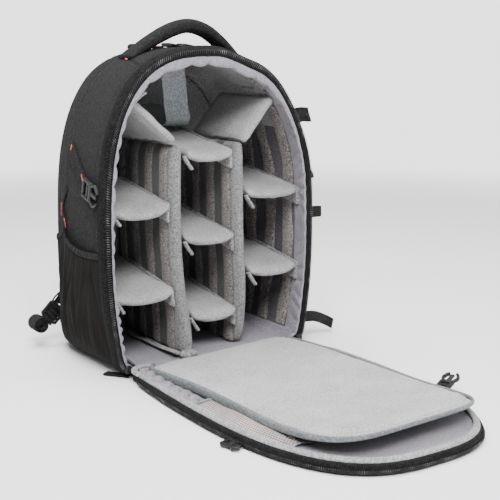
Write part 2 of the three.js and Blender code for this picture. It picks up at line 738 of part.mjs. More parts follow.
// Loops of webbing in the right edge seam: out, round a fold and back
for (const { name, z, reach, width, y, droop } of edgeLoopRows) {
  const t = 1 - findShare((share) => shellPoint(share, y, 0).z, z);
  const { outX, outH } = outlineAt(bodyOutline, t);
  const seat = shellPoint(t, y, -2 * gap);
  const route = edgeLoopRoute.map(({ out, depth, fall }) => ({
    x: seat.x + outX * out * reach,
    y: seat.y + depth,
    z: seat.z + outH * out * reach - droop * fall,
  }));
  const along = new THREE.Vector3(-outH, 0, outX);
  add(name, 'web', ribbon(curveThrough(route), 12, evenly(width), evenly(webbing), () => along));
}

// Straps at the lower corners
add('left_floor_strap', 'web', ribbon(
  curveThrough(leftFloorStrapRows), 6, evenly(floorStrapWidth.left), evenly(webbing),
  () => new THREE.Vector3(1, 0.8, 0),
));
add('right_floor_strap', 'web', ribbon(
  curveThrough(rightFloorStrapRows), 8, evenly(floorStrapWidth.right), evenly(webbing),
  () => new THREE.Vector3(0.25, 0.35, 1),
));

// Shoulder straps, their webs, ladder buckles and rolled ends
for (const [side, sign] of [['left', -1], ['right', 1]]) {
  const shares = shoulderRows.map((row, i) => ({ ...row, share: i / (shoulderRows.length - 1) }));
  const padCurve = curveThrough(shoulderRows, sign);
  add(`shoulder_strap_${side}`, 'shell', bentBox(14, 2, 1, (u, v, w) => {
    const share = padCurve.getUtoTmapping(u);
    const width = read(shares, 'share', share, 'width');
    const thick = read(shares, 'share', share, 'thick') * (1 - 0.5 * (2 * v - 1) ** 2);
    const out = padCurve.getTangentAt(u).cross(new THREE.Vector3(1, 0, 0)).normalize();
    const point = padCurve.getPointAt(u).addScaledVector(out, (w - 0.5) * thick);
    point.x += (v - 0.5) * width;
    return point;
  }));
  const webSide = () => new THREE.Vector3(sign * 0.75, -0.35, 0.55);
  add(`strap_web_${side}`, 'web', ribbon(
    curveThrough(strapWebRows, sign), 8, evenly(strapWebWidth), evenly(webbing), webSide,
  ));
  add(`strap_anchor_${side}`, 'web', ribbon(
    curveThrough(anchorWebRows, sign), 5, evenly(strapWebWidth), evenly(webbing),
    () => new THREE.Vector3(0, 0, 1),
  ));
  const ladder = add(
    `ladder_buckle_${side}`, 'buckle', plate(frameShape(ladderBuckle, [-0.28, 0.1]), ladderBuckle.thick),
  );
  const tilt = THREE.MathUtils.degToRad(ladderBuckle.tilt);
  stand(
    ladder,
    new THREE.Vector3(sign * ladderBuckle.x, ladderBuckle.y, ladderBuckle.z),
    new THREE.Vector3(sign * Math.cos(tilt), 0, Math.sin(tilt)),
    new THREE.Vector3(0, -1, 0),
  );
  add(`strap_roll_${side}`, 'web', bentRod(10, 1, (u, a, b) => new THREE.Vector3(
    sign * (strapRoll.x + a * strapRoll.radius),
    strapRoll.y + (u - 0.5) * strapRoll.width,
    strapRoll.z + b * strapRoll.radius,
  )));
}

// Thin cord loop low on the left back edge
add('cord_loop_left', 'web', bentRod(6, 10, (u, a, b) => {
  const z = mix(cordLoop.high, cordLoop.low, u);
  const bow = Math.sin(Math.PI * u);
  const seat = halfWidth(z, cordLoop.y, 0) + cordLoop.radius + 2 * gap;
  return new THREE.Vector3(
    -(seat + cordLoop.reach * bow + a * cordLoop.radius),
    cordLoop.y + b * cordLoop.radius,
    z - cordLoop.droop * bow,
  );
}));

// Flap lying in front of the body
function flapPoint(t, inside, z) {
  const { x, h, outX, outH } = outlineAt(flapOutline, t);
  return new THREE.Vector3(x - outX * inside, flapHingeY - (h - outH * inside), z);
}

const flapMiddle = new THREE.Vector3(0, flapHingeY - flapArch.height / 2, 0);

// Flat closed disc of the flap's outline; each ring gives its inset, its height and its share of a wave.
function flapDisc(turns, rings, wave) {
  return bentPlate(turns, rings.length + 1, (turn, ring) => {
    const row = rings[Math.min(rings.length, Math.max(1, ring)) - 1];
    if (ring === 0 || ring > rings.length) return flapMiddle.clone().setZ(row.z);
    return flapPoint(turn, row.inset, row.z + row.wavy * wave(turn));
  });
}

add('flap_panel', 'shell', flapDisc(40, [
  { inset: flapPlate.inset, z: 0, wavy: 0 },
  { inset: flapPlate.inset, z: flapPlate.thick, wavy: 0 },
], evenly(0)));
add('flap_hinge', 'shell', bentBox(2, 1, 1, (u, v, w) => new THREE.Vector3(
  mix(-hingeStrip.half, hingeStrip.half, u),
  mix(frontY - gap, flapHingeY - flapPlate.inset + gap, v),
  hingeStrip.low + hingeStrip.thick * w,
)));
add('flap_rim', 'shell', bentRod(8, flapRim.steps, (u, a, b) => {
  const nearHinge = Math.max(0, 1 - Math.min(u, 1 - u) / flapRim.hingeRun);
  const high = mix(flapRim.halfHigh, flapRim.hingeHalfHigh, nearHinge);
  const inside = flapRim.inset + a * flapRim.halfWide;
  return flapPoint(mix(flapRim.from, 1 - flapRim.from, u), inside, high * (1 + b));
}));
const leftGathers = (t) => {
  const onLeft = Math.max(0, Math.sin(Math.PI * Math.min(1, t / flapLining.puckersTo)));
  return onLeft * (0.5 - 0.5 * Math.cos(2 * Math.PI * flapLining.puckers * t));
};
const liningTop = flapLining.low + flapLining.thick;
add('flap_lining', 'lining', flapDisc(64, [
  { inset: flapLining.inset + gap, z: flapLining.low, wavy: 0 },
  { inset: flapLining.inset, z: liningTop + flapLining.hem, wavy: 0 },
  { inset: flapLining.inset + 9, z: liningTop, wavy: flapLining.puckerHeight },
  { inset: flapLining.inset + 24, z: liningTop, wavy: 0 },
], leftGathers));
add('flap_zip', 'zip', bentBox(flapRim.steps, 1, 1, (u, v, w) => flapPoint(
  mix(zipTape.flapFrom, 1 - zipTape.flapFrom, u),
  -2 * gap - zipTape.thick * w,
  zipTape.flapLow + zipTape.width * v,
)));

// Padded inner panel of the flap: a rounded rectangle whose far end is raised
add('flap_inner_panel', 'padding', bentPlate(44, flapPadRings.length - 1, (turn, ring) => {
  const { scale, height } = flapPadRings[ring];
  const angle = 2 * Math.PI * turn;
  const [c, s] = [Math.cos(angle), Math.sin(angle)];
  const ease = 2 / (s > 0 ? flapPad.hingePower : flapPad.power);
  const across = Math.sign(c) * Math.abs(c) ** ease * scale * flapPad.half;
  const along = Math.sign(s) * Math.abs(s) ** ease * scale * flapPad.reach;
  const far = Math.max(0, -along / flapPad.reach);
  return new THREE.Vector3(
    flapPad.x + across,
    flapPad.y + along + flapPad.skew * across * far,
    flapPad.low + flapPad.lift * far ** 2.5 + flapPad.thick * height,
  );
}));

// Mesh pocket on the flap lining, beside and under the inner panel
add('flap_mesh_pocket', 'paleMesh', bentBox(4, 8, 1, (u, v, w) => {
  const y = mix(flapMesh.from, flapMesh.to, v);
  const t = findShare((share) => flapOutline.getPointAt(share).y, flapHingeY - y);
  const left = flapOutline.getPointAt(t).x + flapMesh.clear;
  return new THREE.Vector3(mix(left, flapMesh.right, u), y, flapMesh.low + flapMesh.thick * w);
}));

// Buckles on short straps at the two edges of the flap
for (const { name, at, along, face } of flapBuckleRows) {
  const buckle = add(name, 'buckle', plate(buckleShape(flapBuckle), flapBuckle.thick));
  stand(buckle, new THREE.Vector3(...at), new THREE.Vector3(...along), new THREE.Vector3(...face));
}

// Zip sliders parked at the two lower corners
for (const [side, sign] of [['left', -1], ['right', 1]]) {
  const pull = add(`zip_slider_${side}`, 'buckle', plate(frameShape(slider, [0.22]), slider.thick));
  const spot = shellPoint(zipTape.from + slider.ahead, frontY, zipTape.width / 2 - zipTape.overhang);
  stand(
    pull,
    new THREE.Vector3(-sign * spot.x, frontY - zipTape.thick - 2 * gap, spot.z),
    new THREE.Vector3(0, 0, -1),
    new THREE.Vector3(0, -1, 0),
  );
}

export default backpack;
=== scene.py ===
import bpy
import numpy as np
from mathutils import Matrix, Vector


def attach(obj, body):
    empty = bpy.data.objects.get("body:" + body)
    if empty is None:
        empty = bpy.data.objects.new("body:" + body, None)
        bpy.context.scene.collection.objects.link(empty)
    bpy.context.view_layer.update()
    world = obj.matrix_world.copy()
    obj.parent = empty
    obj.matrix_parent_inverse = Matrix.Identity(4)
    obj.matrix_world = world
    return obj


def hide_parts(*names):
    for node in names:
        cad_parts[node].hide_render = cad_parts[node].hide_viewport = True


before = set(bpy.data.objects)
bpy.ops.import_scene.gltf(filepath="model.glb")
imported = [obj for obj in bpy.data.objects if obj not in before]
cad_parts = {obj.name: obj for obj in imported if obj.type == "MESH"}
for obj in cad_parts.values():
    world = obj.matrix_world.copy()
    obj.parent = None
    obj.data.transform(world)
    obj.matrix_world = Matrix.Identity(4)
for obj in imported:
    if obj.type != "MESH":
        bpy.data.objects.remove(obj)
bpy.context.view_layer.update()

mm = 0.001  # sizes below are millimetres, meshes are metres
pi = np.pi
print("frame loaded with", len(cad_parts), "nodes")

# Camera at the photograph's angle, for a square picture
camera = dict(place=(-695.9, -1220.4, 408.3), target=(19.1, -150.0, 161.4), lens=72.07, sensor=36.0)
# Soft studio light: place, aim, size, watts
lights = [
    dict(name="keyLight", place=(-900, -1750, 2150), aim=(0, -150, 150), size=1500, watts=138),
    dict(name="fillLight", place=(1700, -1300, 1100), aim=(0, -100, 150), size=1500, watts=20),
    dict(name="topLight", place=(-200, 300, 2400), aim=(0, -100, 0), size=1700, watts=84),
]
stage = dict(floor=(0.93, 0.93, 0.93), size=9000, drop=0.6, sky=(1.0, 1.0, 1.0), glow=0.4, seen=2.6,
             fade=(0.9, 7.0))


def aimed(name, data, place, aim):
    # camera or lamp at a place, turned towards a point
    item = bpy.data.objects.new(name, data)
    bpy.context.scene.collection.objects.link(item)
    item.location = Vector(place) * mm
    item.rotation_euler = (Vector(aim) - Vector(place)).to_track_quat("-Z", "Y").to_euler()
    return item


def setCamera(c):
    data = bpy.data.cameras.new("camera")
    data.lens, data.sensor_width = c["lens"], c["sensor"]
    bpy.context.scene.camera = aimed("camera", data, c["place"], c["target"])


def setLights():
    for row in lights:
        data = bpy.data.lights.new(row["name"], "AREA")
        data.shape, data.size, data.energy = "DISK", row["size"] * mm, row["watts"]
        aimed(row["name"], data, row["place"], row["aim"])
    world = bpy.data.worlds.new("studio")
    world.use_nodes = True
    sky = world.node_tree.nodes["Background"]
    sky.inputs["Color"].default_value = (*stage["sky"], 1)
    ray = Wire(world.node_tree.nodes.new("ShaderNodeLightPath").outputs["Is Camera Ray"])
    strength = ray * (stage["seen"] - stage["glow"]) + stage["glow"]
    world.node_tree.links.new(strength.socket, sky.inputs["Strength"])
    bpy.context.scene.world = world


# Shader maths: operators on a socket add Math nodes
class Wire:
    def __init__(self, socket):
        self.socket = socket

    def add(self, kind, settings=None, inputs=None, out=0):  # any node: settings first, then its sockets
        tree = self.socket.id_data
        node = tree.nodes.new("ShaderNode" + kind)
        for key, value in (settings or {}).items():
            setattr(node, key, value)
        for key, value in (inputs or {}).items():
            if isinstance(value, Wire):
                tree.links.new(value.socket, node.inputs[key])
            else:
                node.inputs[key].default_value = value
        return Wire(node.outputs[out])

    def math(self, operation, other=0.0, swap=False):
        pair = (other, self) if swap else (self, other)
        return self.add("Math", {"operation": operation}, {0: pair[0], 1: pair[1]})

    def __add__(self, other):
        return self.math("ADD", other)

    def __sub__(self, other):
        return self.math("SUBTRACT", other)

    def __rsub__(self, other):
        return self.math("SUBTRACT", other, True)

    def __mul__(self, other):
        return self.math("MULTIPLY", other)

    def __truediv__(self, other):
        return self.math("DIVIDE", other)

    def __abs__(self):
        return self.math("ABSOLUTE")

    __radd__, __rmul__ = __add__, __mul__

    def sine(self):
        return self.math("SINE")

    def fraction(self):
        return self.math("FRACT")

    def axis(self, index):
        return self.add("SeparateXYZ", None, {0: self}, index)

    def step(self, low, high):  # 0 below low, 1 above high, smooth between
        return self.add("MapRange", {"interpolation_type": "SMOOTHSTEP"}, {0: self, 1: low, 2: high})

    def mix(self, first, second):  # two colours by this mask
        colours = [c if isinstance(c, Wire) else (*c, 1) for c in (first, second)]
        return self.add("Mix", {"data_type": "RGBA"}, {0: self, 6: colours[0], 7: colours[1]}, 2)

    def noise(self, scale, detail=2.0):
        return self.add("TexNoise", None, {"Vector": self, "Scale": scale, "Detail": detail})

    def cells(self, scale):
        return self.add("TexVoronoi", None, {"Vector": self, "Scale": scale})


setCamera(camera)
setLights()
print("camera and lights set")


def newFinish(name, **constants):
    # material with its shader, and its object and cloth coordinates
    finish = bpy.data.materials.new(name)
    finish.use_nodes = True
    nodes = finish.node_tree.nodes
    for key, value in constants.items():
        nodes["Principled BSDF"].inputs[key.replace("_", " ")].default_value = value
    coords = nodes.new("ShaderNodeTexCoord")
    return finish, Wire(coords.outputs["Object"]), Wire(coords.outputs["UV"])


def dress(finish, colour, rough, height, strength, distance):
    # links colour, roughness and a bump made from a height to the material's shader
    shader = finish.node_tree.nodes["Principled BSDF"]
    normal = height.add("Bump", None, {"Height": height, "Strength": strength, "Distance": distance * mm})
    for key, wire in (("Base Color", colour), ("Roughness", rough), ("Normal", normal)):
        finish.node_tree.links.new(wire.socket, shader.inputs[key])
    return finish


def weaveFinish(name, dark, light, pitch, rough=0.8, twill=False, strength=0.5, wear=0.25, sheen=0.1,
                gloss=0.3, figure=0.1):
    # woven cloth: crossing yarns at a pitch, or slanted ribs for twill, with slubs and soft shading
    finish, place, cloth = newFinish(name, Sheen_Weight=sheen, Sheen_Roughness=0.5, Specular_IOR_Level=gloss)
    turn = 2 * pi / (pitch * mm)
    u, v = cloth.axis(0), cloth.axis(1)
    yarn = ((u + v) * turn).sine() if twill else (u * turn).sine() * (v * turn).sine()
    slub = place.noise(360.0, 3.0)
    shade = place.noise(16.0, 3.0)
    mask = (yarn * figure + slub + (shade - 0.5) * wear).step(0.36, 0.68)
    return dress(finish, mask.mix(dark, light), rough + 0.1 * (slub - 0.5), yarn + slub * 1.2, strength, 0.35)


def pileFinish(name, dark, light, grain, strength=0.6, rough=0.92, sheen=0.2, deep=1.0):
    # brushed pile: fine clumps and flecks, softly patchy
    finish, place, _ = newFinish(name, Sheen_Weight=sheen, Sheen_Roughness=0.4, Specular_IOR_Level=0.15)
    clump = place.noise(grain, 3.0)
    fleck = place.cells(grain * 1.7)
    patch = place.noise(22.0, 2.0)
    mask = (clump + fleck * 0.35 + (patch - 0.5) * 0.3).step(0.42, 0.92)
    return dress(finish, mask.mix(dark, light), rough + 0.05 * clump, clump + 0.6 * fleck, strength, deep)


stripes = dict(pitch=40.0, width=20.0, middle=-60.0, first=-71.5)  # loop strips across the depth of the bag


def dimmed(colour, share):
    # colour at a share of its brightness
    return tuple(share * c for c in colour)


def stripeFinish(name, dark, light, stripDark, stripLight, grain):
    # brushed pile with upright strips of speckled loop pile, set by depth behind the front edge
    finish, place, _ = newFinish(name, Sheen_Weight=0.15, Sheen_Roughness=0.4, Specular_IOR_Level=0.15)
    depth = place.axis(1)
    cycle = ((depth - stripes["middle"] * mm) / (stripes["pitch"] * mm) + 0.5).fraction()
    wander = (place.noise(45.0) - 0.5) * 0.08
    off = abs(cycle - 0.5 + wander) * stripes["pitch"] * mm
    inside = 1 - off.step(stripes["width"] * mm * 0.44, stripes["width"] * mm * 0.56)
    behind = depth.step(stripes["first"] * mm - 0.003, stripes["first"] * mm + 0.003)
    clump = place.noise(grain, 3.0)
    fleck = place.cells(grain * 1.5)
    curl = place.noise(470.0, 2.0)
    front = (curl * 0.8 + clump * 0.3 + fleck * 0.2).step(0.42, 0.84).mix(dimmed(light, 0.36), light)
    loops = (clump * 0.8 + fleck * 0.6).step(0.42, 0.9).mix(stripDark, stripLight)
    channel = clump.step(0.3, 0.7).mix(dimmed(dark, 0.75), dark)
    face = inside.mix(channel, loops)
    colour = behind.mix(front, face)
    return dress(finish, colour, 0.9 + 0.06 * clump, clump + 0.8 * fleck * (0.4 + inside), 0.65, 1.2)


def meshFinish(name, thread, shadedHole, pitch, strength=0.7, gloss=0.25):
    # net: rows of small holes, every other row shifted by half a pitch; the holes show the cloth behind the
    # net with painted shade, darker than that cloth
    finish, place, cloth = newFinish(name, Sheen_Weight=0.1 * gloss, Specular_IOR_Level=gloss)
    u, v = cloth.axis(0) / (pitch * mm), cloth.axis(1) / (pitch * mm * 0.8)
    shift = ((v * 0.5).fraction() - 0.5).step(-0.01, 0.01) * 0.5
    across = (u + shift).fraction() - 0.5
    down = v.fraction() - 0.5
    ring = across * across + down * down
    eye = 1 - ring.step(0.06, 0.16)
    slub = place.noise(300.0, 2.0)
    shade = place.noise(18.0, 3.0).step(0.3, 0.7)
    base = (slub * 0.6 + shade * 0.5).step(0.2, 0.9).mix(dimmed(thread, 0.6), thread)
    # holes take the shaded-hole colour: painted shade on the cloth seen through the net
    return dress(finish, eye.mix(base, shadedHole), 0.85 + 0.1 * slub, slub * 0.5 - eye, strength, 0.5)


def plasticFinish(name, dark, light, rough=0.38):
    # moulded plastic: fine stipple, a little paler where it is scuffed
    finish, place, _ = newFinish(name, Specular_IOR_Level=0.25)
    stipple = place.noise(1400.0, 2.0)
    scuff = place.noise(90.0, 4.0)
    worn = scuff.step(0.45, 0.8).mix(dark, light)
    return dress(finish, worn, rough + 0.25 * (scuff - 0.4), stipple, 0.12, 0.2)


matt = dict(sheen=0.02, gloss=0.06)  # dull black cloth
canvas = weaveFinish("charcoalCanvas", (0.006, 0.0061, 0.0062), (0.028, 0.0282, 0.0284), 2.4, 0.86,
                     strength=0.8, wear=0.12, figure=0.3, **matt)
satin = weaveFinish("lavenderSatin", (0.165, 0.155, 0.178), (0.265, 0.25, 0.282), 0.6, 0.4,
                    strength=0.12, sheen=0.25)
nylon = weaveFinish("wallNylon", (0.055, 0.05, 0.058), (0.12, 0.11, 0.125), 0.7, 0.45,
                    strength=0.2, sheen=0.15)
blackWeb = weaveFinish("blackWebbing", (0.005, 0.005, 0.0052), (0.026, 0.026, 0.0265), 2.2, 0.75,
                       twill=True, strength=0.8, **matt)
greyWeb = weaveFinish("greyTwill", (0.17, 0.185, 0.195), (0.34, 0.362, 0.375), 3.8, 0.6,
                      strength=0.5, figure=0.17)
greyBinding = weaveFinish("greyBinding", (0.105, 0.118, 0.126), (0.215, 0.235, 0.248), 1.4, 0.6, strength=0.6)
rimBinding = weaveFinish("rimBinding", (0.2, 0.204, 0.21), (0.42, 0.425, 0.43), 1.4, 0.5, strength=0.6)
zipTape = weaveFinish("zipTape", (0.004, 0.004, 0.0042), (0.016, 0.016, 0.016), 1.4, 0.8,
                      strength=0.7, **matt)
threadBlack = weaveFinish("blackThread", (0.005, 0.005, 0.005), (0.03, 0.03, 0.03), 0.6, 0.7, **matt)
threadGrey = weaveFinish("greyThread", (0.022, 0.022, 0.022), (0.075, 0.075, 0.075), 0.6, 0.7, **matt)
threadPale = weaveFinish("paleThread", (0.2, 0.2, 0.2), (0.42, 0.42, 0.42), 0.6, 0.7)
threadOrange = weaveFinish("orangeThread", (0.42, 0.09, 0.02), (0.78, 0.22, 0.06), 0.6, 0.6)
threadRed = weaveFinish("redThread", (0.3, 0.03, 0.02), (0.55, 0.09, 0.06), 0.6, 0.6)
brushed = pileFinish("brushedGrey", (0.16, 0.16, 0.161), (0.37, 0.37, 0.37), 620.0, 0.5, deep=0.7)
teddy = pileFinish("teddyGrey", (0.09, 0.09, 0.092), (0.33, 0.33, 0.33), 380.0, 0.9, deep=1.6)
darkPile = pileFinish("darkPile", (0.15, 0.15, 0.152), (0.32, 0.32, 0.323), 460.0, 0.6)
panelPile = pileFinish("panelPile", (0.25, 0.25, 0.246), (0.5, 0.5, 0.494), 520.0, 0.45, deep=0.7)
dividerPile = stripeFinish("dividerPile", (0.072, 0.073, 0.074), (0.24, 0.24, 0.24), (0.055, 0.05, 0.048),
                           (0.22, 0.2, 0.192), 380.0)
loopPile = pileFinish("loopPile", (0.055, 0.048, 0.045), (0.27, 0.248, 0.238), 380.0, 1.0, deep=1.6)
# second colour of each net is its holes, painted dark as painted shade on the cloth behind
pocketMesh = meshFinish("pocketMesh", (0.019, 0.017, 0.0156), (0.004, 0.0038, 0.0036), 2.2, gloss=0.06)
paleMesh = meshFinish("paleMesh", (0.52, 0.468, 0.45), (0.07, 0.058, 0.055), 3.6, 1.0)
airMesh = meshFinish("airMesh", (0.02, 0.02, 0.0206), (0.004, 0.004, 0.004), 3.0, 0.9, 0.06)
plastic = plasticFinish("blackPlastic", (0.01, 0.01, 0.0105), (0.04, 0.04, 0.041), 0.36)
toothPlastic = plasticFinish("zipTeeth", (0.03, 0.03, 0.03), (0.23, 0.23, 0.226), 0.5)
print("finishes made")


# Meshes from whole arrays: a shape is its points and its lists of faces with their cloth coordinates
def clothUv(grid, closed):
    # distance along and across a grid of points, in metres
    ring = np.concatenate([grid, grid[:, :1]], 1) if closed else grid
    across = np.linalg.norm(np.diff(ring, axis=1), axis=2).cumsum(1)
    across = np.concatenate([np.zeros((len(grid), 1)), across], 1)
    along = np.linalg.norm(np.diff(ring, axis=0), axis=2).mean(1).cumsum()
    along = np.broadcast_to(np.concatenate([[0.0], along])[:, None], across.shape)
    return np.stack([along, across], -1).reshape(-1, 2) * mm


def gridShape(grid, closed=False, caps=False):
    # quads of a rows by columns grid; closed joins the last column to the first, caps fan the end rings
    rows, columns = grid.shape[:2]
    i = np.arange(rows - 1)[:, None]
    j = np.arange(columns if closed else columns - 1)[None, :]
    steps = ((i, j), (i + 1, j), (i + 1, j + 1), (i, j + 1))
    stride = columns + 1 if closed else columns
    quads = np.stack([a * columns + b % columns for a, b in steps], -1).reshape(-1, 4)
    corners = np.stack([a * stride + b for a, b in steps], -1).reshape(-1, 4)
    points, faces = grid.reshape(-1, 3), [(quads, clothUv(grid, closed)[corners])]
    for row, turn in ((0, 1), (rows - 1, -1)) if caps else ():
        ring = row * columns + np.arange(columns)
        fan = np.stack([np.full(columns, len(points)), ring, np.roll(ring, -1)], -1)[:, ::turn]
        points = np.vstack([points, grid[row].mean(0)])
        faces.append((fan, np.zeros((columns, 3, 2))))
    return points, faces


def joined(shapes):
    # several shapes as one
    starts = np.cumsum([0] + [len(points) for points, _ in shapes])
    faces = [(index + start, uv) for (_, rows), start in zip(shapes, starts) for index, uv in rows]
    return np.vstack([points for points, _ in shapes]), faces


def outward(shape):
    # turns a closed shape's faces out where its signed volume is negative
    points, faces = shape
    volume = 0.0
    for index, _ in faces:
        a = points[index[:, 0]]
        for k in range(1, index.shape[1] - 1):
            volume += np.einsum("ij,ij->", a, np.cross(points[index[:, k]], points[index[:, k + 1]]))
    if volume < 0:
        faces = [(index[:, ::-1], uv[:, ::-1]) for index, uv in faces]
    return points, faces


def makePiece(name, shape, finish, slot, *nodes, wall=0.0, smooth=0):
    # one object at the origin, riding on the bag; wall gives an open sheet its thickness
    points, faces = shape if wall else outward(shape)
    mesh = bpy.data.meshes.new(name)
    mesh.from_pydata((points * mm).tolist(), [], [row for index, _ in faces for row in index.tolist()])
    layer = mesh.uv_layers.new(name="cloth")
    layer.data.foreach_set("uv", np.concatenate([uv.reshape(-1) for _, uv in faces]).astype(np.float32))
    mesh.polygons.foreach_set("use_smooth", np.ones(len(mesh.polygons), bool))
    mesh.materials.append(finish)
    piece = bpy.data.objects.new(name, mesh)
    bpy.context.scene.collection.objects.link(piece)
    if wall:
        thick = piece.modifiers.new("wall", "SOLIDIFY")
        thick.thickness, thick.offset = wall * mm, 0.0
    if smooth:
        finer = piece.modifiers.new("smooth", "SUBSURF")
        finer.levels = finer.render_levels = smooth
    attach(piece, "root")
    if nodes:
        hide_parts(*nodes)
    return piece


def curve(keys, values, at):
    # monotone cubic through a short table
    x, y = np.asarray(keys, float), np.asarray(values, float)
    slope = np.diff(y) / np.diff(x)
    both = slope[1:] * slope[:-1]
    inner = np.where(both > 0, 2 * both / np.where(both > 0, slope[1:] + slope[:-1], 1), 0)
    tangent = np.concatenate([slope[:1], inner, slope[-1:]])
    at = np.clip(at, x[0], x[-1])
    i = np.clip(np.searchsorted(x, at) - 1, 0, len(x) - 2)
    h = x[i + 1] - x[i]
    s = (at - x[i]) / h
    rise = s * (1 - s) ** 2 * h * tangent[i] + s * s * (s - 1) * h * tangent[i + 1]
    return (1 + 2 * s) * (1 - s) ** 2 * y[i] + s * s * (3 - 2 * s) * y[i + 1] + rise


def evenly(line, count):
    # points at even distances along a line
    far = np.concatenate([[0], np.linalg.norm(np.diff(line, axis=0), axis=1).cumsum()])
    at = np.linspace(0, far[-1], count)
    return np.stack([np.interp(at, far, line[:, k]) for k in range(line.shape[1])], -1)


def through(points, count):
    # smooth line through listed points: Catmull-Rom, then evenly spaced
    p = np.asarray(points, float)
    p = np.vstack([2 * p[0] - p[1], p, 2 * p[-1] - p[-2]])
    t = np.linspace(0, len(p) - 3 - 1e-9, 40 * len(p))
    i = t.astype(int)
    s = (t - i)[:, None]
    a, b, c, d = p[i], p[i + 1], p[i + 2], p[i + 3]
    bend = (2 * a - 5 * b + 4 * c - d) * s**2 + (3 * b - a - 3 * c + d) * s**3
    return evenly(0.5 * (2 * b + (c - a) * s + bend), count)


def places(x, y, z):
    # points from three arrays that broadcast together
    return np.stack(np.broadcast_arrays(x, y, z), -1)


def circle(count):
    # angles evenly round one turn
    return np.linspace(0, 2 * pi, count, endpoint=False)


def lengthOf(line):
    # length of a line of points
    return np.linalg.norm(np.diff(line, axis=0), axis=1).sum()


def unit(v):
    # vectors at length one
    return v / np.maximum(np.linalg.norm(v, axis=-1, keepdims=True), 1e-9)


def power(wave, ease):
    # signed power, which turns a circle's sine and cosine into a superellipse's
    return np.sign(wave) * np.abs(wave) ** (2 / ease)


def smoothStep(x, low, high):
    # 0 before low and 1 past high, smooth between
    s = np.clip((x - low) / (high - low), 0, 1)
    return s * s * (3 - 2 * s)


def ridge(x, middle, width):
    # bell of height one
    return np.exp(-(((x - middle) / width) ** 2))


def cloud(p, size, seed=0.0):
    # smooth value noise, about -1 to 1, whose lumps are this size: hashed lattice values, blended
    q = p / size + 31.7 * seed
    i = np.floor(q)
    f = q - i
    f = f * f * (3 - 2 * f)
    total = 0.0
    for corner in np.ndindex(2, 2, 2):
        hashed = np.sin((i + corner) @ np.array([12.9898, 78.233, 37.719]) + seed) * 43758.5453
        weight = np.prod(np.where(np.array(corner) == 1, f, 1 - f), axis=-1)
        total = total + weight * (hashed - np.floor(hashed))
    return 2 * total - 1


def band(line, side, width, thick, ease=5.0, around=20):
    # flat strip or rod: a superellipse section carried along a line, side being the direction of its width
    along = unit(np.gradient(line, axis=0))
    side = np.broadcast_to(np.asarray(side, float), line.shape)
    side = unit(side - along * (side * along).sum(-1, keepdims=True))
    out = np.cross(along, side)
    angle = circle(around)
    width, thick = (np.broadcast_to(size, len(line))[:, None, None] / 2 for size in (width, thick))
    rings = line[:, None] + side[:, None] * width * power(np.cos(angle), ease)[None, :, None]
    rings = rings + out[:, None] * thick * power(np.sin(angle), ease)[None, :, None]
    return gridShape(rings, closed=True, caps=True)


def block(size, ease=5.0, rows=14, columns=24):
    # rounded block: a superellipsoid about the origin
    v = np.linspace(-pi / 2, pi / 2, rows)[1:-1, None]
    u = circle(columns)[None]
    x = power(np.cos(v), ease) * power(np.cos(u), ease)
    y = power(np.cos(v), ease) * power(np.sin(u), ease)
    z = np.broadcast_to(power(np.sin(v), ease), x.shape)
    return gridShape(np.stack([x, y, z], -1) * np.asarray(size) / 2, closed=True, caps=True)


def placed(shape, at, along, face):
    # stands a shape at a point, its x along one direction and its z towards a face direction
    z = unit(np.asarray(face, float))
    y = unit(np.cross(z, np.asarray(along, float)))
    x = np.cross(y, z)
    points, faces = shape
    return points @ np.stack([x, y, z]) + np.asarray(at, float), faces


spindleTurns = np.arange(4)
spindleRing = ((1, 0), (0, 1), (-1, 0), (0, -1))
spindleRows = [(share, *turn) for share in (-0.7, 0.7) for turn in spindleRing]
spindle = np.array([(-1, 0, 0), *spindleRows, (1, 0, 0)], float)


def spindles(at, along, out, long, wide, thick):
    # many small closed spindles at arrays of places, for stitches and zip teeth
    across = unit(np.cross(out, along))
    out = np.cross(along, across)
    scaled = spindle * np.array([long, wide, thick]) / 2
    axes = (along, across, out)
    points = at[:, None] + sum(scaled[None, :, k:k + 1] * axes[k][:, None] for k in range(3))
    nexts = (spindleTurns + 1) % 4
    tails = np.stack([np.zeros(4, int), 1 + nexts, 1 + spindleTurns], -1)
    noses = np.stack([np.full(4, 9), 5 + spindleTurns, 5 + nexts], -1)
    sides = np.stack([1 + spindleTurns, 1 + nexts, 5 + nexts, 5 + spindleTurns], -1)
    starts = (np.arange(len(at)) * len(spindle))[:, None, None]
    tris = (np.concatenate([tails, noses])[None] + starts).reshape(-1, 3)
    quads = (sides[None] + starts).reshape(-1, 4)
    return points.reshape(-1, 3), [(tris, np.zeros((len(tris), 3, 2))), (quads, np.zeros((len(quads), 4, 2)))]


def stitchRow(line, out, pitch=3.4, long=2.5, wide=0.7, thick=0.55):
    # row of stitches along a line, lying on the surface whose outward direction is out
    count = max(3, int(lengthOf(line) / pitch))
    at = evenly(line, count)
    outs = unit(evenly(np.broadcast_to(np.asarray(out, float), line.shape), count))
    return spindles(at, unit(np.gradient(at, axis=0)), outs, long, wide, thick)


tack = dict(pitch=0.8, slant=0.25, thread=0.9)


def bartack(middle, along, out, long, wide=4.0):
    # close zigzag of thread across a strap end
    along, out = unit(np.asarray(along, float)), unit(np.asarray(out, float))
    far = np.linspace(-long / 2, long / 2, int(long / tack["pitch"]))[:, None]
    at = np.asarray(middle, float) + far * along
    slants = np.broadcast_to(unit(unit(np.cross(out, along)) + tack["slant"] * along), at.shape)
    return spindles(at, slants, np.broadcast_to(out, at.shape), wide, tack["thread"], tack["thread"])


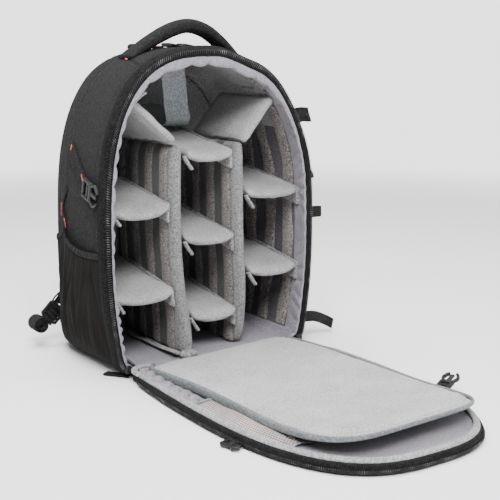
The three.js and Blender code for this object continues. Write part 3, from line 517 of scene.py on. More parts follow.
# Shape of the bag, shared by its shell, lining and zip
bag = dict(half=160, base=143, widest=168, height=412, power=2.84, swell=2.2, corner=25)
drawnIn = dict(
    y=[-95, -86, -50, 10, 55, 80, 95, 102],
    side=[-0.5, -4.5, -5, -4, 0, 11.5, 24, 37],
    top=[-6, -9.5, -11, -10, -7.5, 3, 18, 32],
    base=[0, 0, 0, 0, 0, 2, 8, 16],
    low=[0, 0, 0.5, 3, 5, 5, 5, 5],
    drop=[11, 11, 10, 7, 4, 1, 0, 0],  # of the right shoulder
)
lowSides = dict(ease=0.6, full=30, none=110)
rightShoulder = dict(rise=(0.5, 0.55), fall=(0.6, 0.705))  # shares where the drop comes and goes
innerInset = 12.7  # face of the lining inside the shell


def archOutline(shape, count=1600):
    # base line, quarter circle, swelling side and superellipse top, mirrored, at even shares of its length
    half, base, widest, corner = (shape[key] for key in ("half", "base", "widest", "corner"))
    flank = lambda z: half - (half - base) * np.clip(1 - z / widest, 0, None) ** shape["swell"]
    a = np.linspace(0, pi / 2, 24)
    zArc = corner * (1 - np.cos(a))
    zSide = np.linspace(corner, widest, 60)[1:-1]
    b = np.linspace(0, pi / 2, 260)
    xTop = half * np.clip(np.cos(b), 0, None) ** (2 / shape["power"])
    zTop = widest + (shape["height"] - widest) * np.sin(b) ** (2 / shape["power"])
    xBase = np.linspace(0, base - corner, 20)[:-1]
    xArc = flank(zArc) - corner * (1 - np.sin(a))
    x = np.concatenate([xBase, xArc, flank(zSide), xTop])
    z = np.concatenate([0 * xBase, zArc, zSide, zTop])
    left = np.stack([-x, z], -1)
    line = evenly(np.vstack([left, left[-2::-1] * (-1, 1)]), count)
    along = unit(np.gradient(line, axis=0))
    rows = np.column_stack([line, -along[:, 1], along[:, 0]])
    return dict(t=np.linspace(0, 1, count), length=lengthOf(line), rows=rows)


def onOutline(outline, t):
    # x, z and the outward direction at a share of the outline
    t = np.mod(t, 1.0)
    return [np.interp(t, outline["t"], outline["rows"][:, k]) for k in range(4)]


bagOutline = archOutline(bag)


def drawIn(key, y):
    # a column of the table of drawing in, at a depth
    return curve(drawnIn["y"], drawnIn[key], y)


def shellPoint(t, y, inside):
    # point of the shell at a share of the outline and a depth, a distance inside its outer face
    t, y, inside = np.broadcast_arrays(*(np.asarray(v, float) for v in (t, y, inside)))
    x, z, outX, outZ = onOutline(bagOutline, t)
    side, top, base, low, drop = (drawIn(key, y) for key in ("side", "top", "base", "low", "drop"))
    share = np.mod(t, 1.0)
    onShoulder = smoothStep(share, *rightShoulder["rise"]) - smoothStep(share, *rightShoulder["fall"])
    onLow = np.minimum(1, 2 * outX**2) * smoothStep(-z, -lowSides["none"], -lowSides["full"])
    drawn = side * outX**2 + np.where(outZ > 0, top, base) * outZ**2
    drawn = drawn * (1 - lowSides["ease"] * onLow) - low * onLow + drop * onShoulder
    return np.stack([x - outX * (drawn + inside), y, z - outZ * (drawn + inside)], -1)


def shareWhere(measure, shape, low, high):
    # share of the outline where a test stops holding, by halving for whole arrays
    low, high = np.full(shape, float(low)), np.full(shape, float(high))
    for _ in range(28):
        middle = (low + high) / 2
        below = measure(middle)
        low, high = np.where(below, middle, low), np.where(below, high, middle)
    return (low + high) / 2


def sideX(z, y, inside=0.0, right=False):
    # half width of the shell at a height and depth, measured on its left unless told right
    z, y = np.broadcast_arrays(np.asarray(z, float), np.asarray(y, float))
    at = lambda s: shellPoint(1 - s if right else s, y, inside)
    return np.abs(at(shareWhere(lambda s: at(s)[..., 2] < z, z.shape, 0.07, 0.49))[..., 0])


def roofZ(x, y):
    # height of the roof over a place
    x, y = np.broadcast_arrays(np.asarray(x, float), np.asarray(y, float))
    at = lambda s: shellPoint(np.where(x < 0, s, 1 - s), y, 0)
    return at(shareWhere(lambda s: np.abs(at(s)[..., 0]) > np.abs(x), x.shape, 0.3, 0.5))[..., 2]


# Padded shell panels, tucked in along their seams
shell = dict(seamDepth=1.9, seamWidth=2.4, roll=1.6, rollAt=-86, rollWide=5, valley=0.9, valleyAt=-74,
             valleyWide=3.5, sideSeam=20, wrinkle=0.8, pinch=1.6, front=-95, corner=111, shoulderT=0.4193,
             shoulderLean=0.000209)
cornerT = shell["corner"] / bagOutline["length"]


def shoulderT(y):
    # share of the outline where the shoulder seam lies: it leans inward from the front to the side seam
    back = np.minimum(y, shell["sideSeam"]) - shell["front"]
    return shell["shoulderT"] + shell["shoulderLean"] * back


shellWall = dict(front=-92, back=102, thick=9, nose=3)


def wallProfile():
    # depth, distance inside and a mark for the outer face, once round the section of a padded wall
    front, back, thick, nose = (shellWall[key] for key in ("front", "back", "thick", "nose"))
    a = np.linspace(0, pi / 2, 6)
    outer = np.linspace(front, back, 66)[1:]
    inner = np.linspace(back - 2, front, 24)
    y = np.concatenate([front - nose * np.cos(a), outer, [back, back], inner, front - nose * np.sin(a)[1:]])
    inside = np.concatenate([nose - nose * np.sin(a), 0 * outer, [4, thick], thick + 0 * inner,
                             thick - nose + nose * np.cos(a)[1:]])
    return y, inside, (inside < 2.9).astype(float)


def panelRings(start, end, columns, seamed):
    # padded wall between two seams: pinched shut at each seam, rolled at the front, lightly creased
    y, inside, outer = wallProfile()
    start, end = start(y), end(y)
    t = start + (end - start) * np.linspace(0, 1, columns)[:, None]
    flat = shellPoint(t, y, inside)
    arc = np.minimum(t - start, end - t) * bagOutline["length"]
    tuck = shell["seamDepth"] * ridge(arc, 0, shell["seamWidth"])
    roll = shell["valley"] * ridge(y, shell["valleyAt"], shell["valleyWide"])
    roll = roll - shell["roll"] * ridge(y, shell["rollAt"], shell["rollWide"])
    seam = 1.4 * ridge(y, shell["sideSeam"], 1.5) - 0.7 * ridge(y, shell["sideSeam"] + 4, 2.5)
    seam = seamed * seam * smoothStep(arc, 0, 14)
    crease = shell["wrinkle"] * cloud(flat, 64, 1) + 0.35 * cloud(flat * (1, 1, 0.45), 17, 2)
    level = inside + outer * (tuck + roll + seam + crease)
    level[[0, -1]] = shell["pinch"]
    rings = shellPoint(t, y, level)
    rings[..., 2] = np.maximum(rings[..., 2], 0.05)
    return rings


seams = [lambda y: cornerT + 0 * y, shoulderT, lambda y: 1 - shoulderT(y), lambda y: 1 - cornerT + 0 * y,
         lambda y: 1 + cornerT + 0 * y]
panelRows = [
    dict(name="left_side_panel", columns=150, seamed=1),
    dict(name="top_panel", columns=96, seamed=0),
    dict(name="right_side_panel", columns=150, seamed=1),
    dict(name="bottom_panel", columns=60, seamed=0),
]
for row, start, end in zip(panelRows, seams, seams[1:]):
    rings = panelRings(start, end, row["columns"], row["seamed"])
    panel = makePiece(row["name"] + "_cloth", gridShape(rings, True), canvas, "shell_cloth", row["name"])


def shellStitches(t, y, lift=0.1):
    # row of stitches on the shell through shares and depths
    line = shellPoint(t, y, -lift)
    return stitchRow(line, unit(line - shellPoint(t, y, 6)))


stitched = dict(low=cornerT + 0.01, top=0.435, off=0.0028, sideY=shell["sideSeam"] - 4.0, frontY=-77.0)
depths = np.linspace(-90, 96, 120)
rounds = np.linspace(stitched["low"], 1 - stitched["low"], 600)
sideRounds = np.linspace(stitched["low"], stitched["top"], 300)
seamStitches = [shellStitches(s + side * stitched["off"], depths)
                for s in (shoulderT(depths), 1 - shoulderT(depths)) for side in (-1, 1)]
seamStitches += [shellStitches(share, stitched["sideY"]) for share in (sideRounds, 1 - sideRounds[::-1])]
seamStitches.append(shellStitches(rounds, stitched["frontY"]))
makePiece("shell_stitches", joined(seamStitches), threadGrey, "black_webbing")
print("shell made")


# Zip along the opening: a woven tape folded over the front edge, a coil bead and its teeth
zipRun = dict(start=0.108, pitch=3.0, tooth=6.0, slant=0.2)
zipT = np.linspace(zipRun["start"], 1 - zipRun["start"], 520)
tapeInside = np.array([-2.4, -2.2, -1.2, 0.8, 3.0, 5.0, 7.0, 8.2])
tapeY = np.array([-84.0, -89.0, -94.0, -96.6, -96.9, -96.8, -96.4, -95.6])
tapeGrid = shellPoint(zipT[:, None], np.maximum(tapeY, -95)[None], tapeInside[None])
tapeGrid[..., 1] = tapeY[None]
makePiece("body_zip_tape", gridShape(tapeGrid), zipTape, "zip", "body_zip", wall=0.9)
beadLine = shellPoint(zipT, -95, 1.2)
beadLine[:, 1] = -97.0
zipOut = unit(beadLine - shellPoint(zipT, -95, 20))
makePiece("body_zip_bead", band(beadLine, (0, 1, 0), 2.6, 3.0, 2.0, 10), zipTape, "zip")
toothAt = evenly(beadLine, int(bagOutline["length"] * 0.78 / zipRun["pitch"]))
toothOut = unit(evenly(zipOut, len(toothAt)))
toothAcross = unit(toothOut + zipRun["slant"] * unit(np.gradient(toothAt, axis=0)))
toothFace = np.broadcast_to((0.0, -1.0, 0.0), toothAt.shape)
teeth = spindles(toothAt + (0, -1.2, 0), toothAcross, toothFace, zipRun["tooth"], 1.05, 1.8)
makePiece("body_zip_teeth", teeth, toothPlastic, "zip")

# Satin facing behind the zip, puckered into soft folds with sharp creases between them
facing = dict(start=0.1, topFold=34, sideFold=20, lowFold=15, topHigh=3.6, sideHigh=3.0, lowHigh=1.8, lip=7.5,
              bulge=2.4, rightIn=5, columns=430)


def foldPhase(share, spans, seed):
    # running count of folds along shares, each span of the outline having its own fold width
    draw = np.random.default_rng(seed)
    edges = [spans[0][0]]
    for start, end, width in spans:
        while edges[-1] < end:
            edges.append(edges[-1] + width / bagOutline["length"] * draw.uniform(0.65, 1.4))
    return np.interp(share, edges, np.arange(len(edges)))


facingSpans = [(facing["start"], 0.2, facing["lowFold"]), (0.2, 0.36, facing["sideFold"]),
               (0.36, 0.64, facing["topFold"]), (0.64, 1.0, facing["sideFold"])]
facingInside = np.array([4.2, 6.2, 8.2, 10.0, 11.2, 12.0, 12.4, 12.6, 12.6, 12.5, 12.3, 12.0])
facingY = np.array([-94.8, -96.6, -97.0, -96.2, -93.5, -90.0, -86.0, -82.0, -78.0, -74.0, -70.0, -66.0])
weight = np.array([0.1, 0.4, 0.8, 1.0, 1.0, 1.0, 0.95, 0.85, 0.7, 0.5, 0.25, 0.0])
facingT = np.linspace(facing["start"], 1 - facing["start"], facing["columns"])[:, None]
slantT = facingT + 0.012 * np.sin(61 * facingT) * (facingY[None] + 95) / 29
phase = foldPhase(slantT, facingSpans, 5)
fullness = 0.55 + 0.75 * np.abs(np.sin(12.9 * np.floor(phase)))  # each fold has its own height
_, _, outX, outZ = onOutline(bagOutline, facingT)
onTop = np.clip(outZ, 0, 1) ** 1.5
low = smoothStep(facingT, 0.22, 0.12)
swell = np.abs(np.sin(pi * phase)) ** 0.55 * fullness
high = facing["sideHigh"] + (facing["topHigh"] - facing["sideHigh"]) * onTop + facing["lowHigh"] * low
lip = facing["lip"] * onTop * weight[None]
later = facing["rightIn"] * smoothStep(facingT, 0.6, 0.68) * np.exp(-np.arange(12) / 3)[None]
insideNow = facingInside[None] + weight[None] * (high * (swell - 0.6)) + lip + later
facingGrid = shellPoint(facingT, np.clip(facingY, -95, None)[None], insideNow)
facingGrid[..., 1] = facingY[None] + facing["bulge"] * weight[None] * (0.3 + 0.7 * onTop) * (0.5 - swell)
facingGrid += 0.5 * weight[None, :, None] * cloud(facingGrid, 9, 14)[..., None] * (1, 0, 1)
facingPiece = makePiece("satin_facing", gridShape(facingGrid), satin, "satin_lining", "lining_sleeve",
                        wall=0.8, smooth=1)

# Wall lining behind the facing, with loop strips up both side walls
wallLining = dict(inside=11.3, front=-68, back=89, ripple=1.3)
liningY = np.linspace(wallLining["front"], wallLining["back"], 40)[None]


def liningGrid(start, end, columns):
    # shell inset by its wall, softly rippled
    t = np.linspace(start, end, columns)[:, None]
    flat = shellPoint(t, liningY, wallLining["inside"])
    ripple = wallLining["ripple"] * (cloud(flat, 30, 3) + 0.6 * cloud(flat * (1, 1, 2.2), 26, 4))
    return gridShape(shellPoint(t, liningY, wallLining["inside"] + ripple))


for name, start, end in (("left", 0.088, 0.352), ("right", 0.648, 0.912)):
    side = makePiece(name + "_wall_lining", liningGrid(start, end, 90), nylon, "satin_lining", wall=0.6)
# roof part of the lining takes the paler pile of the back wall instead of the side walls' nylon: painted
# light, lighter so that it reads in the deep shade under the roof
roofLiningPaintedLight = makePiece("roof_lining_painted_light", liningGrid(0.351, 0.649, 90), darkPile, "satin_lining", wall=0.6)
strips = dict(depths=[-50, -3, 43], tops=[0.44, 0.39, 0.365], width=26, lift=4.0, low=0.118)
stripShapes = []
for sign in (-1, 1):
    for depth, top in zip(strips["depths"], strips["tops"]):
        t = np.linspace(strips["low"], top, 90)[:, None]
        across = np.linspace(-1, 1, 10)[None]
        wave = 2.2 * np.sin(31 * t + depth) + 1.0 * np.sin(97 * t + 2 * depth)
        y = depth + across * strips["width"] / 2 * (1 + 0.07 * np.sin(140 * t + depth)) + wave
        lift = strips["lift"] * (1 - across**4) - 0.4
        t = t if sign < 0 else 1 - t
        bare = shellPoint(t, y, wallLining["inside"])
        strip = shellPoint(t, y, wallLining["inside"] + lift + 0.45 * cloud(bare, 5, 5))
        stripShapes.append(gridShape(strip if sign < 0 else strip[::-1]))
makePiece("wall_loop_strips", joined(stripShapes), loopPile, "brushed_padding", wall=0.8)

# Floor lining, from the back of the bag out over the flap's hinge, turned up round both base corners
floorTurn = dict(flat=117, radius=12.5, rest=11.6, slope=0.12)
reach = np.linspace(-1, 1, 90)[None] * (floorTurn["flat"] + floorTurn["radius"] * pi / 2)
floorY = np.concatenate([np.linspace(88, -96, 52), np.linspace(-99, -112, 8)])[:, None]
inBag = smoothStep(floorY, -99, -93)
bend = np.clip((np.abs(reach) - floorTurn["flat"]) / floorTurn["radius"], 0, pi / 2)
floorX = np.clip(reach, -floorTurn["flat"], floorTurn["flat"])
floorX = floorX + np.sign(reach) * floorTurn["radius"] * np.sin(bend) * (0.1 + 0.9 * inBag)
floorZ = floorTurn["rest"] + drawIn("base", floorY) + floorTurn["radius"] * (1 - np.cos(bend)) * inBag
floorZ = floorZ + floorTurn["slope"] * np.minimum(floorY + 96, 0)
floorFlat = places(floorX, floorY, floorZ)
floorFlat[..., 2] += 0.5 * cloud(floorFlat, 34, 6) * smoothStep(floorFlat[..., 1], 80, 40)
floorPiece = makePiece("floor_lining", gridShape(floorFlat), satin, "satin_lining", wall=0.6)


def backDisc(inside, at, rows, columns, depth):
    # upright sheet whose rim follows the shell and whose rings shrink to a middle line; depth sets its y
    t = np.linspace(0, 1, columns, endpoint=False)[None]
    ring = np.linspace(0, 1, rows)[:, None]
    rim = shellPoint(t, at, inside)
    middle = places(0 * t, at, np.clip(rim[..., 2], 110, 300))
    points = rim * (1 - ring[..., None]) + middle * ring[..., None]
    points[..., 1] = depth(points, ring)
    return points


def liningDepth(p, ring):
    # flat sheet, stepped in at its rim and softly rippled
    return 91 - 1.2 * smoothStep(ring, 0, 0.1) + 0.5 * cloud(p, 45, 7)


backWall = backDisc(10.4, 90, 22, 170, liningDepth)
makePiece("back_wall_lining", gridShape(backWall, True), darkPile, "brushed_padding", "lining_back", wall=1.0)
print("lining made")


# Padded pieces are swollen by a short cloth simulation with inner pressure
puffs = []
puffing = dict(frames=20, quality=5)


def padPiece(name, shape, finish, node, voxel=4.5, cap=1.6, pressure=4.0, after=None, finer=1):
    # pad in place of its solid, put on the list of those to swell
    piece = makePiece(name, shape, finish, "brushed_padding", node)
    puffs.append(dict(piece=piece, voxel=voxel, cap=cap, pressure=pressure, after=after, finer=finer))


def coordsOf(mesh):
    # places of a mesh's points as one array, in metres
    flat = np.empty(len(mesh.vertices) * 3)
    mesh.vertices.foreach_get("co", flat)
    return flat.reshape(-1, 3)


def shownMesh(piece):
    # mesh of a piece as its modifiers leave it
    return bpy.data.meshes.new_from_object(piece.evaluated_get(bpy.context.evaluated_depsgraph_get()))


def swapMesh(piece, mesh):
    # gives a piece another mesh under the same name, smooth shaded
    old, name = piece.data, piece.data.name
    piece.modifiers.clear()
    piece.data = mesh
    bpy.data.meshes.remove(old)
    mesh.name = name
    mesh.polygons.foreach_set("use_smooth", np.ones(len(mesh.polygons), bool))


def swellPads():
    # voxel remesh, cloth pressure without gravity for a few frames, movement capped, then subdivided
    for row in puffs:
        remesh = row["piece"].modifiers.new("voxels", "REMESH")
        remesh.mode, remesh.voxel_size = "VOXEL", row["voxel"] * mm
    for row in puffs:
        swapMesh(row["piece"], shownMesh(row["piece"]))
        row["rest"] = coordsOf(row["piece"].data)
    for row in puffs:
        cloth = row["piece"].modifiers.new("cloth", "CLOTH")
        cloth.settings.use_pressure = True
        cloth.settings.uniform_pressure_force = row["pressure"]
        cloth.settings.effector_weights.gravity = 0.0
        cloth.settings.quality = puffing["quality"]
        cloth.point_cache.frame_start, cloth.point_cache.frame_end = 1, puffing["frames"]
    for step in range(1, puffing["frames"] + 1):
        bpy.context.scene.frame_set(step)
    for row in puffs:
        swapMesh(row["piece"], shownMesh(row["piece"]))
    bpy.context.scene.frame_set(1)
    for row in puffs:
        mesh = row["piece"].data
        move = coordsOf(mesh) - row["rest"]
        far = np.linalg.norm(move, axis=1, keepdims=True)
        kept = row["rest"] + move * np.minimum(1, row["cap"] * mm / np.maximum(far, 1e-9))
        if row["after"]:
            kept = row["after"](kept / mm) * mm
        mesh.vertices.foreach_set("co", kept.ravel())
        mesh.update()
        finer = row["piece"].modifiers.new("smooth", "SUBSURF")
        finer.levels = finer.render_levels = row["finer"]


# Tall dividers with a round nose, ribbed with loop strips on both faces
divider = dict(half=9.2, face=10, top=298, low=13, back=88, rib=2.8)
dividerRows = dict(
    left=dict(z=[12, 49, 107, 191, 293], x=[-41, -41, -46, -50, -48], front=[-97, -93, -87, -85, -85]),
    right=dict(z=[12, 36, 95, 154, 293], x=[49, 52, 53, 50, 48], front=[-74, -81, -85, -85, -85]),
)


def dividerX(side, z):
    # middle line of a divider at a height
    return curve(dividerRows[side]["z"], dividerRows[side]["x"], z)


def stripMask(y):
    # 1 on the loop strips, 0 in the channels between them
    off = np.abs((y - stripes["middle"] + stripes["pitch"] / 2) % stripes["pitch"] - stripes["pitch"] / 2)
    return (1 - smoothStep(off, 0.38 * stripes["width"], 0.56 * stripes["width"])) * smoothStep(y, -76, -70)


def dividerShape(side):
    # section with a half-round nose carried up the divider's leaning middle line
    z = np.linspace(divider["low"], divider["top"], 64)[:, None]
    half = divider["half"] * (1 - 0.4 * smoothStep(z, 284, 296))
    front = curve(dividerRows[side]["z"], dividerRows[side]["front"], z) + 1.2
    a = np.linspace(-pi / 2, pi / 2, 15)[None]
    nose = (half * np.sin(a), front + half - half * np.cos(a))
    run = np.linspace(0, 1, 26)[None, 1:]
    right = (half + 0 * run, front + half + (divider["back"] - front - half) * run)
    left = (-half + 0 * run[:, ::-1], right[1][:, ::-1])
    x, y = (np.concatenate([nose[k] + 0 * z, right[k], left[k]], 1) for k in (0, 1))
    zs = np.maximum(z + 0 * x, divider["low"] + drawIn("base", y))
    return gridShape(np.stack([dividerX(side, zs) + x, y, zs], -1), True, True)


def ribbed(side):
    # pushes the strips out of both faces of a swollen divider
    def push(p):
        offset = p[:, 0] - dividerX(side, p[:, 2])
        flat = smoothStep(np.abs(offset), 3, 7)
        p = p.copy()
        p[:, 0] += np.sign(offset) * flat * (divider["rib"] * stripMask(p[:, 1]) - 1.1 + 0.5 * cloud(p, 7, 8))
        p[:, 1] += 0.5 * cloud(p, 9, 9) * smoothStep(p[:, 1], -70, -84)
        return p
    return push


for side in ("left", "right"):
    padPiece("divider_%s_pad" % side, dividerShape(side), dividerPile, "divider_" + side, voxel=4.6, cap=1.2,
             after=ribbed(side))

# Foot of the left divider, a flange turned out over the floor, thick at its front toe
foot = dict(width=14, front=-92, back=52, curl=3.5, thick=4, toe=(27, 14, 9), toeAt=(-45, -97, 17.5))
footV = np.linspace(0, 1, 60)
footY = foot["front"] + (foot["back"] - foot["front"]) * footV
footX = dividerX("left", 13 + 0 * footV) - divider["half"] - foot["width"] / 2 + 0.5 * np.sin(21 * footV)
footZ = 15.2 + foot["curl"] * (1 - footV) ** 2 + 0.4 * np.sin(13 * footV)
flange = band(np.stack([footX, footY, footZ], -1), (1, 0, -0.25), foot["width"], foot["thick"], 3.0, 24)
toe = placed(block(foot["toe"], 3.0), foot["toeAt"], (1, 0.1, 0.05), (0.05, -0.2, 1))
makePiece("divider_foot_tab", joined([flange, toe]), teddy, "brushed_padding", "divider_foot")

# Sagging shelves, each a board with a rounded front edge, held by thin tabs turned down at both ends
shelf = dict(thick=11, front=-84, bow=3, back=77, rise=24, backSag=0.4, tab=27, tabThick=5.0, finLong=16,
             finSwing=10)
shelfRows = [
    dict(name="shelf_left_upper", column="left", z=212, sag=10),
    dict(name="shelf_left_lower", column="left", z=97, sag=8),
    dict(name="shelf_center_upper", column="center", z=278, sag=6),
    dict(name="shelf_center_middle", column="center", z=164, sag=5),
    dict(name="shelf_center_lower", column="center", z=58, sag=6),
    dict(name="shelf_right_upper", column="right", z=219, sag=4),
    dict(name="shelf_right_lower", column="right", z=110, sag=6),
]


columnWalls = dict(left=(None, "left"), center=("left", "right"), right=("right", None))


def columnEnds(column, z, y):
    # the two walls of a column at a height and depth: a divider's face, or the lining where there is none
    clear = 0.9
    left, right = columnWalls[column]
    leftX = dividerX(left, z) + divider["face"] + clear if left else clear - sideX(z, y, innerInset)
    rightX = dividerX(right, z) - divider["face"] - clear if right else sideX(z, y, innerInset) - clear
    return leftX, rightX


def shelfShape(row):
    # section across the depth, flat with a round front, carried between the walls and hung in a curve
    share = np.linspace(0, 1, 30)[:, None]
    hump = 1 - np.abs(2 * share - 1) ** 2.5
    r = shelf["thick"] / 2
    a = np.linspace(pi / 2, 3 * pi / 2, 11)[None]
    depth = np.linspace(0, 1, 24)[None]
    front = shelf["front"] - shelf["bow"] * hump
    run = shelf["back"] - front - r
    y = front + r + np.concatenate([r * np.cos(a) + 0 * run, run * depth, run * depth[:, ::-1]], 1)
    off = np.concatenate([r * np.sin(a), np.full((1, 24), -r), np.full((1, 24), r)], 1)
    v = np.clip((y - shelf["front"]) / (shelf["back"] - shelf["front"]), 0, 1)
    ends = 1 - 0.2 * np.abs(2 * share - 1) ** 10
    z = row["z"] + 6 + shelf["rise"] * v - row["sag"] * hump * (1 - (1 - shelf["backSag"]) * v) + off * ends
    left, right = columnEnds(row["column"], z, y)
    toNose = 5 * np.exp((shelf["front"] - y) / 9) * (row["column"] != "right")
    x = left + 2.6 + (right - left - 5.2 + toNose) * share
    return gridShape(np.stack([x, y, z], -1), True, True)


def tabShape(row):
    # thin flap down the right end of a shelf
    v, d = np.linspace(0, 1, 22)[:, None], np.linspace(0, 1, 8)[None]
    y = shelf["front"] + 3 + (shelf["back"] - shelf["front"] - 16) * v + 0 * d
    z = row["z"] + shelf["thick"] + shelf["rise"] * v - 1.5 - shelf["tab"] * d * (1 - 0.12 * v)
    _, right = columnEnds(row["column"], z, y)
    return gridShape(np.stack([right - 1.8, y, z], -1))


def finShape(row):
    # ribbed strip that hangs from a shelf's left front corner and swings to the right
    share = np.linspace(0, 1, 40)
    z = row["z"] + 4 - (shelf["finLong"] + 2) * share
    left, _ = columnEnds(row["column"], np.array(row["z"] - 2.0), np.array(shelf["front"] + 3.0))
    clear = 5.0 if row["column"] == "left" else -1.5
    x = float(left) + clear + shelf["finSwing"] * share**1.2
    line = np.stack([x, shelf["front"] + 3 - 3 * share, z], -1)
    return band(line, (0, 1, 0), 7.5, 4.2 + 0.8 * np.sin(2 * pi * 7 * share), 3.0, 20)


for row in shelfRows:
    padPiece(row["name"] + "_pad", shelfShape(row), brushed, row["name"])
    makePiece(row["name"] + "_tabs", tabShape(row), teddy, "brushed_padding", wall=shelf["tabThick"],
              smooth=1)
    makePiece(row["name"] + "_fin", finShape(row), teddy, "brushed_padding")

# Slanted panels from the side of the arch down to the divider tops
slant = dict(front=-84, back=59, thick=12.5, wallZ=356, lowZ=dict(left=301, right=296),
             inner=dict(left=51, right=55), clear=15.5, nose=6.5)


def slantShape(side):
    # long rounded section between the wall and the divider's top, carried from front to back
    sign = -1 if side == "left" else 1
    nose = slant["nose"] * (1 - np.cos(np.linspace(0.12, pi / 2, 7)))
    y = np.concatenate([slant["front"] + nose, np.linspace(slant["front"] + 12, slant["back"] - 12, 22),
                        slant["back"] - nose[::-1]])[:, None]
    rounded = np.clip(np.minimum(y - slant["front"], slant["back"] - y) / slant["nose"], 0, 1)
    angle = circle(56)[None]
    along, off = power(np.cos(angle), 7), power(np.sin(angle), 2.6)
    highX, lowX = sideX(slant["wallZ"] + 0 * y, y, slant["clear"], sign > 0), slant["inner"][side]
    lowZ = slant["lowZ"][side]
    middle = places((highX + lowX) / 2, y, (slant["wallZ"] + lowZ) / 2)
    run = places((lowX - highX) / 2, 0 * y, (lowZ - slant["wallZ"]) / 2)
    out = unit(np.stack([-run[..., 2], 0 * y, run[..., 0]], -1))
    thick = slant["thick"] / 2 * np.sqrt(1 - (1 - rounded) ** 2)
    points = middle + run * along[..., None] + out * (thick * off)[..., None]
    points[..., 0] *= sign
    return gridShape(points, True, True)


def slantCreases(p):
    # two soft folds that run from a slant's lower edge up towards its middle
    slope = p[:, 1] + 0.5 * p[:, 2]
    fold = sum(ridge(slope, at, 3.5) for at in (150, 176)) * smoothStep(p[:, 2], 336, 310)
    p = p.copy()
    p[:, 2] -= 2.2 * fold
    return p


for side in ("left", "right"):
    padPiece("slant_%s_pad" % side, slantShape(side), brushed, "slant_" + side, voxel=4.1, after=slantCreases)

# Fuzzy tab turned up along the right slant's upper edge, and the folded end of the left one
tabV = np.linspace(0, 1, 50)
tabY = 56 - 134 * tabV
tabHigh = 12.5 - 9 * smoothStep(tabV, 0.45, 1) + 0.8 * np.sin(17 * tabV)
tabX = sideX(slant["wallZ"] + 0 * tabY, tabY, slant["clear"], True) - 1.5
tabLine = np.stack([tabX, tabY, slant["wallZ"] + 4 + tabHigh / 2], -1)
makePiece("slant_right_tab", band(tabLine, (-0.3, 0, 1), tabHigh, 6.5, 2.6, 22), teddy, "brushed_padding")
endLine = through([(-118, -76, 349), (-109, -77, 355), (-100, -77, 362), (-94, -76, 365)], 24)
makePiece("slant_left_tab", band(endLine, (0, 1, 0), 13, 5.2, 2.8, 20), brushed, "brushed_padding")
print("pads ready to swell:", len(puffs))

# Webbing loop hung under the roof
loopLine = through([(-9, 2, 411.3), (-1, 5, 345), (4, 9, 324), (5, 24, 316), (4, 55, 325), (2, 89, 341)], 70)
makePiece("webbing_loop_band", band(loopLine, (1, 0, 0), 38, 2.0), greyWeb, "grey_webbing", "webbing_loop")

# Carry handle: padded, its seam pulled in along the lower front, its ends flattened on the roof
handle = dict(y=-20, wide=28, high=19, endHigh=7, endWide=42)
handleRise = lambda x, rise: float(roofZ(x, handle["y"])) + rise
handleLine = through([(-86, -12, handleRise(-86, 1.5)), (-68, -16, handleRise(-68, 5.5)), (-46, -20, 434),
                      (-20, -20, 446), (5, -20, 451), (30, -20, 445), (53, -20, 430),
                      (77, -20, handleRise(77, 6))], 90)
handleU = np.linspace(0, 1, 90)
grip = np.sin(pi * handleU) ** 0.5
handleWide = handle["endWide"] + (handle["wide"] - handle["endWide"]) * grip
handleHigh = handle["endHigh"] + (handle["high"] - handle["endHigh"]) * grip


def handleShape():
    # superellipse section along the arch, with a groove where its two covers meet
    along = unit(np.gradient(handleLine, axis=0))
    out = np.stack([-along[:, 2], 0 * along[:, 0], along[:, 0]], -1)
    angle = circle(64)[None]
    groove = 1 - 0.13 * ridge(angle, 1.25 * pi, 0.09) - 0.13 * ridge(angle, 1.75 * pi, 0.09)
    b = handleWide[:, None] / 2 * power(np.cos(angle), 2.5) * groove
    a = handleHigh[:, None] / 2 * power(np.sin(angle), 2.5) * groove
    points = handleLine[:, None] + out[:, None] * a[..., None] + np.array([0, 1, 0]) * b[..., None]
    points = points + 0.15 * cloud(points, 9, 10)[..., None] * out[:, None]
    return gridShape(points, True, True)


makePiece("carry_handle_pad", handleShape(), canvas, "shell_cloth", "carry_handle")
print("handle made")


# Gathered mesh pockets: folds start under the elastic mouth and fan down
pocket = dict(low=16, front=-84, back=74, clear=1.2, swell=9, mouth=5.5, folds=12, fold=3.4, valley=4.0)
mouthRows = dict(y=[-84, -45, -11, 8, 22, 42, 74], z=[157, 155, 159, 167, 177, 168, 158])


def mouthOut(y):
    # how far the mouth stands off the wall: nothing towards the back
    return pocket["mouth"] * smoothStep(-y, -48, -2)


def pocketGrid(sign):
    # swelling net up to the mouth: folds that fan out downwards, and one deep valley near the front
    u, v = np.linspace(0, 1, 130)[None], np.linspace(0, 1, 52)[:, None]
    y = pocket["front"] + (pocket["back"] - pocket["front"]) * u + 0 * v
    z = pocket["low"] + (curve(mouthRows["y"], mouthRows["z"], y) - pocket["low"]) * v
    spread = np.sin(pi * u)
    full = (1 - v) * pocket["swell"] * np.sin(pi * np.minimum(1, 1.1 * v)) + v * mouthOut(y)
    fan = (u - 0.175 * (1 - v)) / (1 + 0.3 * (1 - v))
    wobble = 0.5 * np.sin(23 * fan + 2.5 * v) + 0.3 * np.sin(41 * fan - 4 * v)
    crest = np.abs(np.sin(pi * (pocket["folds"] * fan + wobble))) ** 0.8
    strength = 0.25 + 0.9 * np.sin(pi * np.clip(v * 0.75 + 0.22, 0, 1)) ** 1.5
    strength = pocket["fold"] * strength * smoothStep(spread, 0, 0.5)
    valley = pocket["valley"] * ridge(y, -64 - 0.226 * (129 - z), 4.5)
    valley = valley * smoothStep(v, 0.02, 0.15) * smoothStep(v, 0.95, 0.8)
    lift = spread**0.8 * full + strength * (crest - 0.55) * smoothStep(v, 0, 0.2) - valley
    x = sideX(z, y) + pocket["clear"] + np.maximum(lift, 0)
    return np.stack([sign * x, y, z], -1)


